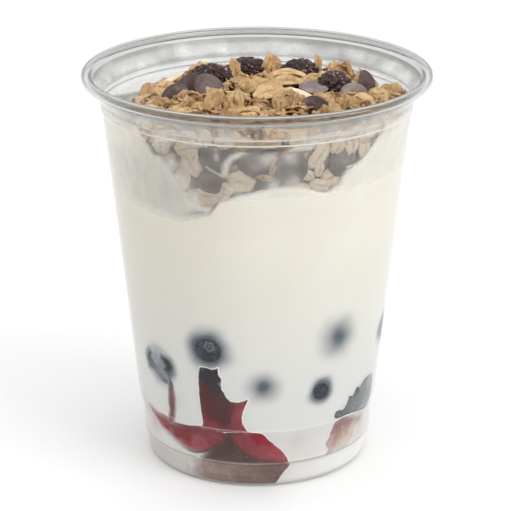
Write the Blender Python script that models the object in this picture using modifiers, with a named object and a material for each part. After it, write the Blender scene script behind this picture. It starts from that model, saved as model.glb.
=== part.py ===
"""Yogurt parfait in a clear take-away cup.

A thin turned plastic cup with a rolled rim and a raised floor, filled with yogurt that holds
blueberries and pieces of soft red fruit, with fruit juice run into the foot and a heap of granola
with chocolate drops and dried fruit on top.

Metres, +Z up.  The origin is the middle of the cup's foot and the front of the cup faces -Y.
Angles round the cup are in degrees from the front, growing towards +X.
"""
from math import atan2, cos, degrees, exp, hypot, pi, radians, sin

import bmesh
import bpy
from mathutils import Matrix, Vector

# Cup
CUP_HEIGHT = 0.1136
RIM_RADIUS = 0.0490
BEAD_RADIUS = 0.0014        # of the rolled edge
WALL = 0.0005
FLOOR_HEIGHT = 0.0075       # upper face of the raised floor
FLOOR_RADIUS = 0.0274
FOOT_INNER_RADIUS = 0.0288
FOOT_OUTER_RADIUS = 0.0301
HEEL_RADIUS = 0.0314
CREASE_HEIGHT = 0.0074      # fine step above the foot
BASE_RADIUS = 0.0327        # straight band between the foot and the taper
BAND_TOP = 0.0140
TAPER_HEIGHT = 0.0183
TAPER_RADIUS = 0.0338
NECK_HEIGHT = 0.1028
NECK_RADIUS = 0.04285
RIDGE_HEIGHTS = (0.1040, 0.1060)
RIDGE_DEPTH = 0.00035
SEGMENTS = 32               # round the cup and everything turned to fit it

GAP = 0.0003                # between touching pieces
POCKET_OPENING = 0.0008     # how far a pocket at the wall breaks out of the yogurt

# Yogurt and granola: height along the wall as (angle, height), and in the middle
YOGURT_EDGE = ((-180, 0.0995), (-85, 0.0965), (-55, 0.0820), (-32, 0.0805), (-17, 0.0855),
               (-8, 0.0895), (14, 0.0915), (27, 0.0895), (33, 0.0912), (38, 0.0955), (48, 0.0992),
               (60, 0.1010), (110, 0.1005), (180, 0.0995))
YOGURT_MIDDLE = 0.0910
GRANOLA_EDGE = ((-180, 0.1015), (-120, 0.0990), (-90, 0.0985), (-62, 0.1000), (-40, 0.1040),
                (0, 0.1055), (60, 0.1058), (100, 0.1045), (150, 0.1020), (180, 0.1015))
GRANOLA_MIDDLE = 0.1070
GRANOLA_LUMP = 0.0011       # height of its bumps
RINGS_YOGURT = (0.80, 0.42)
RINGS_GRANOLA = (0.93, 0.79, 0.62, 0.43, 0.22)

# Juice that has run down between the fruit into the foot, as seen from the front
JUICE_TOP = (-0.0078, 0.0185)
JUICE_LEFT = -0.0172
JUICE_RIGHT = 0.0078
JUICE_BACK = -0.0215

# Blueberries: angle, height, radius, and the way the crown faces as (outward, sideways, up)
BLUEBERRIES = (
    (-50, 0.0330, 0.0049, (0.3, -0.6, 0.7)),
    (-21.5, 0.0430, 0.0050, (0.9, 0.2, 0.3)),
    (6.7, 0.0335, 0.0047, (-0.4, 0.3, 0.8)),
    (31, 0.0290, 0.0046, (0.2, 0.9, 0.3)),
    (38, 0.0445, 0.0050, (0.5, 0.7, -0.4)),
    (76, 0.0405, 0.0048, (0.6, -0.2, 0.7)),
    (63, 0.0250, 0.0053, (0.3, 0.5, 0.8)),
    (118, 0.0310, 0.0050, (0.8, 0.3, 0.5)),
    (-138, 0.0360, 0.0051, (0.5, 0.6, 0.6)),
)

# Soft red fruit against the wall: angle, height, then half its depth, width and height, how far
# its middle lies in from the wall, its lean in degrees and how much it narrows upwards
RED_FRUIT = (
    ("red_fruit_left", -38, 0.0150, 0.0100, 0.0150, 0.0068, 0.0040, 0, -0.15),
    ("red_fruit_column", -15.5, 0.0282, 0.0080, 0.0078, 0.0106, 0.0030, -6, 0.20),
    ("red_fruit_front", 4.5, 0.0128, 0.0085, 0.0083, 0.0062, 0.0030, 8, 0.10),
    ("red_fruit_right", 48, 0.0142, 0.0080, 0.0080, 0.0058, 0.0035, -12, 0.10),
    ("red_fruit_back", 150, 0.0160, 0.0090, 0.0125, 0.0075, 0.0040, 10, 0.15),
    ("red_fruit_side", -105, 0.0165, 0.0085, 0.0105, 0.0078, 0.0040, -8, 0.15),
)

# Chocolate drops: place, radius, half thickness and tilt about X and Y in degrees
DROPS_ON_TOP = (
    ((-0.0187, 0.0010, 0.1060), 0.0040, 0.0015, 24, -34),
    ((-0.0126, 0.0040, 0.1061), 0.0041, 0.0015, 40, 14),
    ((0.0156, 0.0000, 0.1070), 0.0038, 0.0013, 10, 6),
    ((0.0307, 0.0066, 0.1052), 0.0041, 0.0014, 8, 62),
    ((0.0268, -0.0058, 0.1060), 0.0034, 0.0013, 20, -14),
    ((0.0168, -0.0170, 0.1058), 0.0033, 0.0013, 32, 10),
    ((-0.0240, -0.0055, 0.1055), 0.0034, 0.0013, 38, -24),
)
# Chocolate drops seen through the wall: angle, height and radius
DROPS_AT_WALL = ((-15, 0.1008, 0.0038), (-17.5, 0.0931, 0.0036), (-1.5, 0.0990, 0.0038),
                 (12.5, 0.0974, 0.0038), (31.5, 0.0972, 0.0034))
DROP_HALF_THICKNESS = 0.0013

# Dried fruit on top: place, half sizes and turn about Z in degrees
DRIED_FRUIT = (
    ((0.0124, 0.0222, 0.1062), (0.0052, 0.0044, 0.0026), 10),
    ((0.0222, 0.0080, 0.1063), (0.0046, 0.0052, 0.0025), -25),
    ((-0.0035, 0.0240, 0.1062), (0.0050, 0.0040, 0.0026), -15),
    ((-0.0125, 0.0150, 0.1062), (0.0060, 0.0046, 0.0026), 20),
)


# ---------------------------------------------------------------- scene, collections, materials

for scene_object in list(bpy.data.objects):
    bpy.data.objects.remove(scene_object, do_unlink=True)


def new_collection(name):
    collection = bpy.data.collections.new(name)
    bpy.context.scene.collection.children.link(collection)
    return collection


PARTS = new_collection("yogurt_parfait")
CUTTERS = new_collection("cutters")


def material(name, colour, roughness, transmission=0.0):
    """A plain Principled material."""
    made = bpy.data.materials.new(name)
    made.use_nodes = True
    shader = made.node_tree.nodes["Principled BSDF"]
    shader.inputs["Base Color"].default_value = (*colour, 1.0)
    shader.inputs["Roughness"].default_value = roughness
    shader.inputs["Metallic"].default_value = 0.0
    shader.inputs["Transmission Weight"].default_value = transmission
    return made


CLEAR_PLASTIC = material("clear_plastic", (0.95, 0.96, 0.96), 0.05, 1.0)
YOGURT = material("yogurt", (0.80, 0.77, 0.68), 0.35)
JUICE = material("juice", (0.10, 0.05, 0.04), 0.25)
TOASTED_OATS = material("toasted_oats", (0.50, 0.29, 0.12), 0.75)
BLUE_SKIN = material("blue_skin", (0.03, 0.04, 0.09), 0.55)
RED_FLESH = material("red_flesh", (0.35, 0.03, 0.05), 0.30)
CHOCOLATE = material("chocolate", (0.05, 0.025, 0.02), 0.45)
DRIED_SKIN = material("dried_skin", (0.03, 0.012, 0.015), 0.60)


# ---------------------------------------------------------------- common helpers

def place_at(angle, radius, height):
    """The point at an angle from the front, a distance from the axis and a height."""
    turn = radians(angle)
    return Vector((radius * sin(turn), -radius * cos(turn), height))


def facing(angle):
    """Rotation whose X points outward at this angle and whose Y runs round the cup."""
    return Matrix.Rotation(radians(angle - 90), 4, "Z")


def eased(points, x):
    """Smoothly joined value at x of (position, value) pairs in rising order."""
    for (x0, y0), (x1, y1) in zip(points, points[1:]):
        if x <= x1:
            share = (1 - cos(pi * (x - x0) / (x1 - x0))) / 2
            return y0 + (y1 - y0) * share
    return points[-1][1]


def add_object(name, mesh, surface=None, collection=PARTS, matrix=None):
    """Link a mesh as an object of its own; one with no surface is a cutter."""
    made = bpy.data.objects.new(name, mesh)
    collection.objects.link(made)
    if matrix is not None:
        made.matrix_world = matrix
    if surface is None:
        made.hide_render = True
        made.display_type = "WIRE"
    else:
        mesh.materials.append(surface)
        mesh.shade_smooth()
        mesh.set_sharp_from_angle(angle=radians(40))
    return made


def finished_mesh(name, bm):
    """Close a bmesh into a mesh with outward faces."""
    bmesh.ops.recalc_face_normals(bm, faces=bm.faces)
    mesh = bpy.data.meshes.new(name)
    bm.to_mesh(mesh)
    bm.free()
    return mesh


def boolean(target, cutter, operation="DIFFERENCE"):
    """Keep a live exact Boolean on the target."""
    cut = target.modifiers.new(f"{operation.lower()}_{cutter.name}", "BOOLEAN")
    cut.operation = operation
    cut.solver = "EXACT"
    cut.object = cutter
    return cut


def profile_mesh(name, points):
    """An open line of (radius, height) points in the XZ plane."""
    bm = bmesh.new()
    verts = [bm.verts.new((radius, 0.0, height)) for radius, height in points]
    for pair in zip(verts, verts[1:]):
        bm.edges.new(pair)
    mesh = bpy.data.meshes.new(name)
    bm.to_mesh(mesh)
    bm.free()
    return mesh


def spun(points):
    """A bmesh turned from an open profile that starts and ends on the axis."""
    bm = bmesh.new()
    verts = [bm.verts.new((radius, 0.0, height)) for radius, height in points]
    edges = [bm.edges.new(pair) for pair in zip(verts, verts[1:])]
    bmesh.ops.spin(bm, geom=verts + edges, cent=(0, 0, 0), axis=(0, 0, 1), angle=2 * pi,
                   steps=SEGMENTS, use_merge=True)
    bmesh.ops.remove_doubles(bm, verts=bm.verts, dist=0.00001)
    return bm


# ---------------------------------------------------------------- cup

def cup_inner_profile():
    """Inner face of the sheet, from the middle of the floor out, up and over the rim."""
    low_ridge, high_ridge = RIDGE_HEIGHTS
    points = [
        (0.0, FLOOR_HEIGHT), (FLOOR_RADIUS, FLOOR_HEIGHT),
        (FOOT_INNER_RADIUS, WALL), (FOOT_OUTER_RADIUS, WALL),
        (HEEL_RADIUS, WALL + 0.0011),
        (BASE_RADIUS - 0.0006, CREASE_HEIGHT - 0.0003), (BASE_RADIUS, CREASE_HEIGHT + 0.0015),
        (BASE_RADIUS, BAND_TOP), (TAPER_RADIUS, TAPER_HEIGHT),
        (NECK_RADIUS, NECK_HEIGHT),
        (NECK_RADIUS + RIDGE_DEPTH, low_ridge), (NECK_RADIUS + 0.0002, low_ridge + 0.0008),
        (NECK_RADIUS + 0.0002 + RIDGE_DEPTH, high_ridge),
    ]
    bead_centre = Vector((RIM_RADIUS - BEAD_RADIUS, CUP_HEIGHT - BEAD_RADIUS))
    flare_foot = Vector(points[-1]) + Vector((0.0001, 0.0008))
    flare_top = bead_centre - Vector((BEAD_RADIUS, 0))
    points.append(tuple(flare_foot))
    points.append((flare_foot.x + 0.55 * (flare_top.x - flare_foot.x),
                   flare_foot.y + 0.42 * (flare_top.y - flare_foot.y)))
    for step in range(6):
        turn = pi - step * pi / 4
        points.append((bead_centre.x + BEAD_RADIUS * cos(turn),
                       bead_centre.y + BEAD_RADIUS * sin(turn)))
    return points


def wall_radius(height):
    """Radius of the inner face of the cup's wall at a height above the foot."""
    wall = cup_inner_profile()[4:13]
    for (r0, z0), (r1, z1) in zip(wall, wall[1:]):
        if height <= z1:
            return r0 + (r1 - r0) * (height - z0) / (z1 - z0)
    return wall[-1][0]


def inset_profile(points, distance):
    """The points of an open profile moved square to it, towards the inside of the cup."""
    moved = []
    for index, point in enumerate(points):
        before = Vector(points[max(index - 1, 0)])
        after = Vector(points[min(index + 1, len(points) - 1)])
        here = Vector(point)
        directions = [step.normalized() for step in (here - before, after - here) if step.length > 0]
        normals = [Vector((-step.y, step.x)) for step in directions]
        mitre = sum(normals, Vector((0, 0))).normalized()
        length = distance / mitre.dot(normals[0])
        moved.append((max(here.x + mitre.x * length, 0.0), here.y + mitre.y * length))
    moved[0] = (0.0, moved[0][1])
    return moved


def make_cup():
    """Thin sheet turned round the axis: up its inner face, over the rim and down outside."""
    inner = cup_inner_profile()
    outer = inset_profile(inner, -WALL)
    cup = add_object("cup", profile_mesh("cup", inner + outer[::-1]), CLEAR_PLASTIC)
    turn = cup.modifiers.new("turn", "SCREW")
    turn.steps = SEGMENTS
    turn.render_steps = SEGMENTS
    turn.use_merge_vertices = True
    turn.merge_threshold = 0.00001
    return cup


# ---------------------------------------------------------------- yogurt, juice and granola

def yogurt_height(angle, share):
    """Top of the yogurt at a share of the way from the axis to the wall."""
    edge = eased(YOGURT_EDGE, angle)
    return YOGURT_MIDDLE + (edge - YOGURT_MIDDLE) * share ** 2


def granola_height(angle, share):
    """Top of the granola heap: full in the middle, uneven, and lower along the wall."""
    edge = eased(GRANOLA_EDGE, angle)
    fall = exp(-((1 - share) / 0.22) ** 2)
    x, y, _ = place_at(angle, share * NECK_RADIUS, 0)
    lumps = sin(x / 0.0031 + 1.3) * cos(y / 0.0037 + 0.4) + 0.5 * sin((x + y) / 0.0052 + 2.0)
    return GRANOLA_MIDDLE + (edge - GRANOLA_MIDDLE) * fall + GRANOLA_LUMP * lumps * (1 - fall * 0.6)


def drape(bm, marker, height):
    """Move the vertices at a marker height to a height given by angle and share of the radius."""
    rim = wall_radius(marker) - GAP
    for vert in bm.verts:
        if abs(vert.co.z - marker) < 0.00001:
            share = min(hypot(vert.co.x, vert.co.y) / rim, 1.0)
            angle = degrees(atan2(vert.co.x, -vert.co.y))
            radius = share * (wall_radius(height(angle, 1.0)) - GAP)
            vert.co = place_at(angle, radius, height(angle, share))


def contents_bmesh():
    """Everything the cup holds up to the top of the yogurt, clear of the wall."""
    marker = YOGURT_MIDDLE
    rim = wall_radius(marker) - GAP
    sides = inset_profile(cup_inner_profile()[:10], GAP)[:9]
    top = [(rim, marker)] + [(rim * share, marker) for share in RINGS_YOGURT] + [(0.0, marker)]
    bm = spun(sides + top)
    drape(bm, marker, yogurt_height)
    bmesh.ops.triangulate(bm, faces=bm.faces)
    return bm


def granola_bmesh():
    """The heap between the yogurt and its own uneven top."""
    low, high = YOGURT_MIDDLE, GRANOLA_MIDDLE
    rim_low, rim_high = wall_radius(low) - GAP, wall_radius(high) - GAP
    under = [(0.0, low)] + [(rim_low * share, low) for share in reversed(RINGS_YOGURT)]
    over = [(rim_high * share, high) for share in RINGS_GRANOLA] + [(0.0, high)]
    bm = spun(under + [(rim_low, low), (rim_high, high)] + over)
    drape(bm, high, granola_height)
    drape(bm, low, lambda angle, share: yogurt_height(angle, share) + GAP)
    bmesh.ops.triangulate(bm, faces=bm.faces)
    return bm


def juice_region(name, grow):
    """A block whose front outline is the juice: a peak between the fruit over the foot band."""
    peak_x, peak_z = JUICE_TOP
    outline = ((JUICE_LEFT, -0.001), (JUICE_RIGHT, -0.001), (JUICE_RIGHT + 0.0012, CREASE_HEIGHT),
               (peak_x, peak_z), (JUICE_LEFT - 0.0008, CREASE_HEIGHT))
    middle = Vector((sum(x for x, _ in outline), sum(z for _, z in outline))) / len(outline)
    bm = bmesh.new()
    ring = []
    for x, z in outline:
        away = (Vector((x, z)) - middle).normalized() * grow * 1.6
        ring.append(bm.verts.new((x + away.x, -RIM_RADIUS, z + away.y)))
    face = bm.faces.new(ring)
    back = bmesh.ops.extrude_face_region(bm, geom=[face])["geom"]
    moved = [item for item in back if isinstance(item, bmesh.types.BMVert)]
    bmesh.ops.translate(bm, verts=moved, vec=(0, RIM_RADIUS + JUICE_BACK + grow, 0))
    return add_object(name, finished_mesh(name, bm), collection=CUTTERS)


# ---------------------------------------------------------------- fruit and toppings

def ball(across, upwards, half_sizes):
    """A round body of the given half sizes."""
    bm = bmesh.new()
    bmesh.ops.create_uvsphere(bm, u_segments=across, v_segments=upwards, radius=1.0)
    bmesh.ops.scale(bm, verts=bm.verts, vec=half_sizes)
    return bm


def blueberry_mesh(name, radius):
    """A slightly flat berry with the raised ring and the dimple of its crown on top."""
    bm = ball(8, 6, (radius, radius, radius * 0.92))
    crown = max(bm.verts, key=lambda vert: vert.co.z)
    for edge in crown.link_edges:
        ring_vert = edge.other_vert(crown)
        ring_vert.co = ring_vert.co * 0.66
        ring_vert.co.z = radius * 0.93
    crown.co.z = radius * 0.74
    return finished_mesh(name, bm)


def add_blueberry(index, angle, height, radius, crown):
    """A berry against the wall, and the pocket that it leaves in the yogurt."""
    outward, sideways, up = crown
    lean = Vector((0, 0, 1)).rotation_difference(Vector((outward, sideways, up))).to_matrix().to_4x4()
    inset = radius + GAP + 0.0003
    place = Matrix.Translation(place_at(angle, wall_radius(height) - inset, height))
    name = f"blueberry_{index}"
    berry = add_object(name, blueberry_mesh(name, radius), BLUE_SKIN,
                       matrix=place @ facing(angle) @ lean)
    shift = Matrix.Translation(place_at(angle, POCKET_OPENING, 0))
    pocket = add_object(f"pocket_{name}", blueberry_mesh(name, radius + GAP + POCKET_OPENING),
                        collection=CUTTERS, matrix=shift @ place @ facing(angle) @ lean)
    return berry, pocket


def red_fruit_mesh(name, half_sizes, taper, grow):
    """A soft, slightly angular fruit piece that narrows upwards."""
    depth, width, height = half_sizes
    bm = ball(12, 6, (depth + grow, width + grow, height + grow))
    for vert in bm.verts:
        level = vert.co.z / height
        narrowing = 1 - taper * level
        swell = 1 + 0.05 * sin(3 * vert.co.y / width + 2 * level)
        vert.co.x *= narrowing * swell
        vert.co.y *= narrowing
    return finished_mesh(name, bm)


def add_red_fruit(name, angle, height, half_sizes, inset, lean, taper):
    """A red fruit piece cut flush with the yogurt's side, and the pocket for it."""
    place = Matrix.Translation(place_at(angle, wall_radius(height) - inset, height))
    matrix = place @ facing(angle) @ Matrix.Rotation(radians(lean), 4, "X")
    piece = add_object(name, red_fruit_mesh(name, half_sizes, taper, 0.0), RED_FLESH, matrix=matrix)
    pocket = add_object(f"pocket_{name}", red_fruit_mesh(name, half_sizes, taper, GAP * 1.5),
                        collection=CUTTERS, matrix=matrix)
    return piece, pocket


def drop_mesh(name, radius, half_thickness, stretch=0.0):
    """A chocolate drop: a disc with a rounded edge, flatter below; a pocket stretches upwards."""
    bm = ball(9, 4, (radius, radius, half_thickness))
    for vert in bm.verts:
        if vert.co.z < 0:
            vert.co.z *= 0.7
        elif vert.co.z > 0.00001:
            vert.co.z += stretch
    return finished_mesh(name, bm)


def dried_fruit_mesh(name, half_sizes, grow):
    """A shrunken fruit whose skin is drawn into lengthwise folds."""
    bm = ball(10, 6, tuple(size + grow for size in half_sizes))
    for vert in bm.verts:
        round_about = vert.co.x / half_sizes[0] * 4 + vert.co.y / half_sizes[1] * 3
        fold = 1 + 0.09 * sin(round_about * 1.7) * cos(round_about * 0.9 + 1)
        vert.co.x *= fold
        vert.co.y *= fold
    return finished_mesh(name, bm)


# ---------------------------------------------------------------- assembly

def build():
    make_cup()

    contents = add_object("contents_shape", finished_mesh("contents_shape", contents_bmesh()),
                          collection=CUTTERS)
    yogurt = add_object("yogurt", finished_mesh("yogurt", contents_bmesh()), YOGURT)
    juice = add_object("berry_juice", finished_mesh("berry_juice", contents_bmesh()), JUICE)
    granola = add_object("granola", finished_mesh("granola", granola_bmesh()), TOASTED_OATS)

    boolean(juice, juice_region("juice_outline", 0.0), "INTERSECT")
    boolean(yogurt, juice_region("juice_pocket", GAP))

    fruit_pockets = []
    for name, angle, height, depth, width, tall, inset, lean, taper in RED_FRUIT:
        piece, pocket = add_red_fruit(name, angle, height, (depth, width, tall), inset, lean, taper)
        boolean(piece, contents, "INTERSECT")
        for neighbour in fruit_pockets:
            boolean(piece, neighbour)
        boolean(yogurt, pocket)
        boolean(juice, pocket)
        fruit_pockets.append(pocket)

    for index, (angle, height, radius, crown) in enumerate(BLUEBERRIES, start=1):
        _, pocket = add_blueberry(index, angle, height, radius, crown)
        boolean(yogurt, pocket)

    index = 0
    for place, radius, half_thickness, tilt_x, tilt_y in DROPS_ON_TOP:
        index += 1
        name = f"chocolate_drop_{index}"
        matrix = (Matrix.Translation(place) @ Matrix.Rotation(radians(tilt_y), 4, "Y")
                  @ Matrix.Rotation(radians(tilt_x), 4, "X"))
        add_object(name, drop_mesh(name, radius, half_thickness), CHOCOLATE, matrix=matrix)
        pocket = add_object(f"pocket_{name}", drop_mesh(name, radius + GAP, half_thickness + GAP * 1.5),
                            collection=CUTTERS, matrix=matrix)
        boolean(granola, pocket)
    for angle, height, radius in DROPS_AT_WALL:
        index += 1
        name = f"chocolate_drop_{index}"
        inset = GAP + DROP_HALF_THICKNESS + 0.0004
        upright = facing(angle) @ Matrix.Rotation(pi / 2, 4, "Y")
        matrix = Matrix.Translation(place_at(angle, wall_radius(height) - inset, height)) @ upright
        add_object(name, drop_mesh(name, radius, DROP_HALF_THICKNESS), CHOCOLATE, matrix=matrix)
        hollow = drop_mesh(name, radius + GAP, DROP_HALF_THICKNESS + GAP * 1.5, POCKET_OPENING)
        pocket = add_object(f"pocket_{name}", hollow, collection=CUTTERS, matrix=matrix)
        boolean(granola, pocket)

    for index, (place, half_sizes, turn) in enumerate(DRIED_FRUIT, start=1):
        name = f"dried_fruit_{index}"
        matrix = Matrix.Translation(place) @ Matrix.Rotation(radians(turn), 4, "Z")
        add_object(name, dried_fruit_mesh(name, half_sizes, 0.0), DRIED_SKIN, matrix=matrix)
        pocket = add_object(f"pocket_{name}", dried_fruit_mesh(name, half_sizes, GAP * 1.3),
                            collection=CUTTERS, matrix=matrix)
        boolean(granola, pocket)


build()
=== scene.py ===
"""Yogurt parfait in a clear take-away cup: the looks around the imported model.

Metres, +Z up.  The cup's axis is Z and its front faces -Y.  Angles round the cup are in degrees
from the front, growing towards +X.
"""
import random
from math import atan2, cos, degrees, exp, hypot, pi, radians, sin, sqrt

import bmesh
import bpy
import numpy as np
from mathutils import Matrix, Vector, noise


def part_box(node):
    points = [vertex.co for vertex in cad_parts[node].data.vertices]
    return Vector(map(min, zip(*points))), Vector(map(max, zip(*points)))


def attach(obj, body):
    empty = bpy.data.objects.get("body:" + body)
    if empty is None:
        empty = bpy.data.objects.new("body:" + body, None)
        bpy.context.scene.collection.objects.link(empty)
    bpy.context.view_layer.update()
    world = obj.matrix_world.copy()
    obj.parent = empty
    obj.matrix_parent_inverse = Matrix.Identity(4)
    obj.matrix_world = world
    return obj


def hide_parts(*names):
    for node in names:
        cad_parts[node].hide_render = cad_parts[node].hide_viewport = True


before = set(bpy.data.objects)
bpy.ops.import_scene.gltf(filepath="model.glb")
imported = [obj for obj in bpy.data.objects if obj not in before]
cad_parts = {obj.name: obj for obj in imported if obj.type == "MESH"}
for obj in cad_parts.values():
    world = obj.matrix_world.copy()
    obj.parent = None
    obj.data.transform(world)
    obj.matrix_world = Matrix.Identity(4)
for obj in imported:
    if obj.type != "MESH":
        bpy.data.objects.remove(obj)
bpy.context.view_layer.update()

# ------------------------------------------------------------------------------------------- cup
# A take-away cup of clear thermoformed plastic: one thin sheet with a raised floor, a narrow foot,
# a stacking step low down, two stacking ridges under the flare and a rolled rim.  The sheet's
# inner face is turned as one line, and the outer face follows it at the sheet's thickness.

cup_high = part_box("cup")[1]
CUP_HEIGHT = cup_high[2]
RIM_RADIUS = cup_high[0]
SHEET = 0.0005
BEAD_RADIUS = 0.0014
BEAD_TURN = 1.32 * pi          # how far the rim's edge is rolled round
CUP_STEPS = 160                # round the cup

FLOOR_HEIGHT = 0.0075
STEP_TOP = 0.0183
NECK_HEIGHT = 0.1028
FLARE_FOOT = Vector((0.0435, 0.1069))
BEAD_CENTRE = Vector((RIM_RADIUS - BEAD_RADIUS, CUP_HEIGHT - BEAD_RADIUS))
# Corners of the inner face as (radius, height, rounding), from the middle of the floor to the flare
CUP_CORNERS = (
    (0.0, FLOOR_HEIGHT, 0.0), (0.0274, FLOOR_HEIGHT, 0.0012),
    (0.0287, SHEET, 0.0007), (0.0302, SHEET, 0.0009),
    (0.0314, 0.0018, 0.0016), (0.0321, 0.0071, 0.0002), (0.03255, 0.0078, 0.0005),
    (0.0327, 0.0140, 0.0012), (0.0338, STEP_TOP, 0.0004),
    (0.04285, NECK_HEIGHT, 0.0006),
    (0.04325, 0.1038, 0.0003), (0.04300, 0.1046, 0.0005),
    (0.04345, 0.1058, 0.0003), (FLARE_FOOT.x, FLARE_FOOT.y, 0.0008),
    (0.0449, 0.1091, 0.0030), (BEAD_CENTRE.x - BEAD_RADIUS, 0.1111, 0.0012),
    (BEAD_CENTRE.x - BEAD_RADIUS, BEAD_CENTRE.y, 0.0),
)


def rounded_line(corners, arc_points=6):
    """Points of a line through (radius, height, rounding) corners, each corner eased to an arc."""
    line = []
    for index, (radius, height, rounding) in enumerate(corners):
        corner = Vector((radius, height))
        if rounding == 0.0 or index in (0, len(corners) - 1):
            line.append(corner)
            continue
        before = Vector(corners[index - 1][:2]) - corner
        after = Vector(corners[index + 1][:2]) - corner
        reach = min(rounding, before.length * 0.45, after.length * 0.45)
        start, end = corner + before.normalized() * reach, corner + after.normalized() * reach
        for step in range(arc_points):
            t = step / (arc_points - 1)
            line.append(start.lerp(corner, t).lerp(corner.lerp(end, t), t))
    return line


def offset_line(line, distance):
    """The line moved square to itself, towards the axis for a positive distance."""
    moved = []
    for index, here in enumerate(line):
        before, after = line[max(index - 1, 0)], line[min(index + 1, len(line) - 1)]
        along = (after - before).normalized()
        moved.append(here + Vector((-along.y, along.x)) * distance)
    moved[0].x = 0.0
    return moved


def turned(line, steps):
    """A bmesh turned from an open line that starts and ends on the axis."""
    bm = bmesh.new()
    verts = [bm.verts.new((point.x, 0.0, point.y)) for point in line]
    edges = [bm.edges.new(pair) for pair in zip(verts, verts[1:])]
    bmesh.ops.spin(bm, geom=verts + edges, cent=(0, 0, 0), axis=(0, 0, 1), angle=2 * pi,
                   steps=steps, use_merge=True)
    bmesh.ops.remove_doubles(bm, verts=bm.verts, dist=0.000002)
    bmesh.ops.recalc_face_normals(bm, faces=bm.faces)
    return bm


def mesh_of(bm, name):
    """Turn a bmesh into a mesh, and free it."""
    mesh = bpy.data.meshes.new(name)
    bm.to_mesh(mesh)
    bm.free()
    return mesh


def put_in_scene(name, data):
    """An object of some data, linked into the scene."""
    made = bpy.data.objects.new(name, data)
    bpy.context.scene.collection.objects.link(made)
    return made


def piece(name, bm, material, slot, *nodes):
    """Finish a bmesh as a piece that rides on the cup and stands for the CAD nodes named."""
    mesh = mesh_of(bm, name)
    mesh.shade_smooth()
    mesh.materials.append(material)
    made = put_in_scene(name, mesh)
    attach(made, "root")
    if nodes:
        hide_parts(*nodes)


def node_material(name, roughness, specular=0.5):
    """A material of a roughness and a specular level, with its node tree and Principled shader."""
    made = bpy.data.materials.new(name)
    made.use_nodes = True
    tree = made.node_tree
    shader = tree.nodes["Principled BSDF"]
    shader.inputs["Roughness"].default_value = roughness
    shader.inputs["Specular IOR Level"].default_value = specular
    return made, tree, shader


def feed(tree, value, socket):
    """Give a socket its value: another socket, a plain colour or a number."""
    if isinstance(value, bpy.types.NodeSocket):
        tree.links.new(value, socket)
    else:
        socket.default_value = (*value, 1.0) if isinstance(value, tuple) else value


def attribute(tree, name, output="Fac"):
    """The value of one of the piece's own attributes."""
    node = tree.nodes.new("ShaderNodeAttribute")
    node.attribute_name = name
    return node.outputs[output]


def colour_mix(tree, share, first, second, blend="MIX"):
    """Mix of two colours, each a socket or a plain colour, by a socket or a number."""
    node = tree.nodes.new("ShaderNodeMix")
    node.data_type = "RGBA"
    node.blend_type = blend
    for value, slot in ((share, 0), (first, 6), (second, 7)):
        feed(tree, value, node.inputs[slot])
    return node.outputs[2]


def cast_thin_shadow(tree, shader, tint):
    """Let light through in a tint where the piece would only cast a shadow."""
    light_path = tree.nodes.new("ShaderNodeLightPath")
    let_through = tree.nodes.new("ShaderNodeBsdfTransparent")
    feed(tree, tint, let_through.inputs["Color"])
    mix = tree.nodes.new("ShaderNodeMixShader")
    tree.links.new(light_path.outputs["Is Shadow Ray"], mix.inputs[0])
    tree.links.new(shader.outputs[0], mix.inputs[1])
    tree.links.new(let_through.outputs[0], mix.inputs[2])
    tree.links.new(mix.outputs[0], tree.nodes["Material Output"].inputs["Surface"])


def clamped(value):
    """The value held between 0 and 1."""
    return min(max(value, 0.0), 1.0)


inner_line = rounded_line(CUP_CORNERS)
bead_steps = 18
for bead_step in range(1, bead_steps + 1):
    turn = pi - BEAD_TURN * bead_step / bead_steps
    inner_line.append(BEAD_CENTRE + Vector((cos(turn), sin(turn))) * BEAD_RADIUS)
outer_line = offset_line(inner_line, -SHEET)

cup_clear, tree, shader = node_material("clear_plastic", 0.04)
# The sheet's colour greys on the rim and on the flare as painted shade.
sheet_tint_and_shade = colour_mix(tree, attribute(tree, "rolled"), (0.90, 0.90, 0.895), (0.70, 0.70, 0.69))
tree.links.new(sheet_tint_and_shade, shader.inputs["Base Color"])
shader.inputs["IOR"].default_value = 1.45
shader.inputs["Transmission Weight"].default_value = 1.0
cast_thin_shadow(tree, shader, (0.97, 0.975, 0.975))

cup_bmesh = turned(inner_line + outer_line[::-1], CUP_STEPS)
rim_shade_layer = cup_bmesh.verts.layers.float.new("rolled")
for vert in cup_bmesh.verts:      # painted shade: the sheet is tinted greyer in the rolled bead and up the flare, for the darker reflections there
    from_bead = hypot(hypot(vert.co.x, vert.co.y) - BEAD_CENTRE.x, vert.co.z - BEAD_CENTRE.y)
    in_bead = from_bead < BEAD_RADIUS + 0.001
    vert[rim_shade_layer] = 1.0 if in_bead else 0.8 * clamped((vert.co.z - 0.1080) / 0.002)
piece("clear_cup", cup_bmesh, cup_clear, "clear_plastic", "cup")


# ---------------------------------------------------------------------------------------- yogurt
# Thick plain yogurt that fills the cup against its wall, also the groove of the foot.  Its top
# dips to the front left under the granola and is drawn up the wall at the sides and behind.

wall_line = [point for point in inner_line if point.x > 0.0300 and point.y < FLARE_FOOT.y]
INTO_WALL = 0.0002             # how far the fillings reach into the sheet, so that no gap shows


def wall_radius(height):
    """Radius of the inner face of the wall at a height."""
    for low, high in zip(wall_line, wall_line[1:]):
        if height <= high.y:
            return low.x + (high.x - low.x) * (height - low.y) / (high.y - low.y)
    return wall_line[-1].x


def place_at(angle, radius, height):
    """The point at an angle from the front, a distance from the axis and a height."""
    turn = radians(angle)
    return Vector((radius * sin(turn), -radius * cos(turn), height))


def angle_at(x, y):
    """The angle of a place from the front."""
    return degrees(atan2(x, -y))


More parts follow.
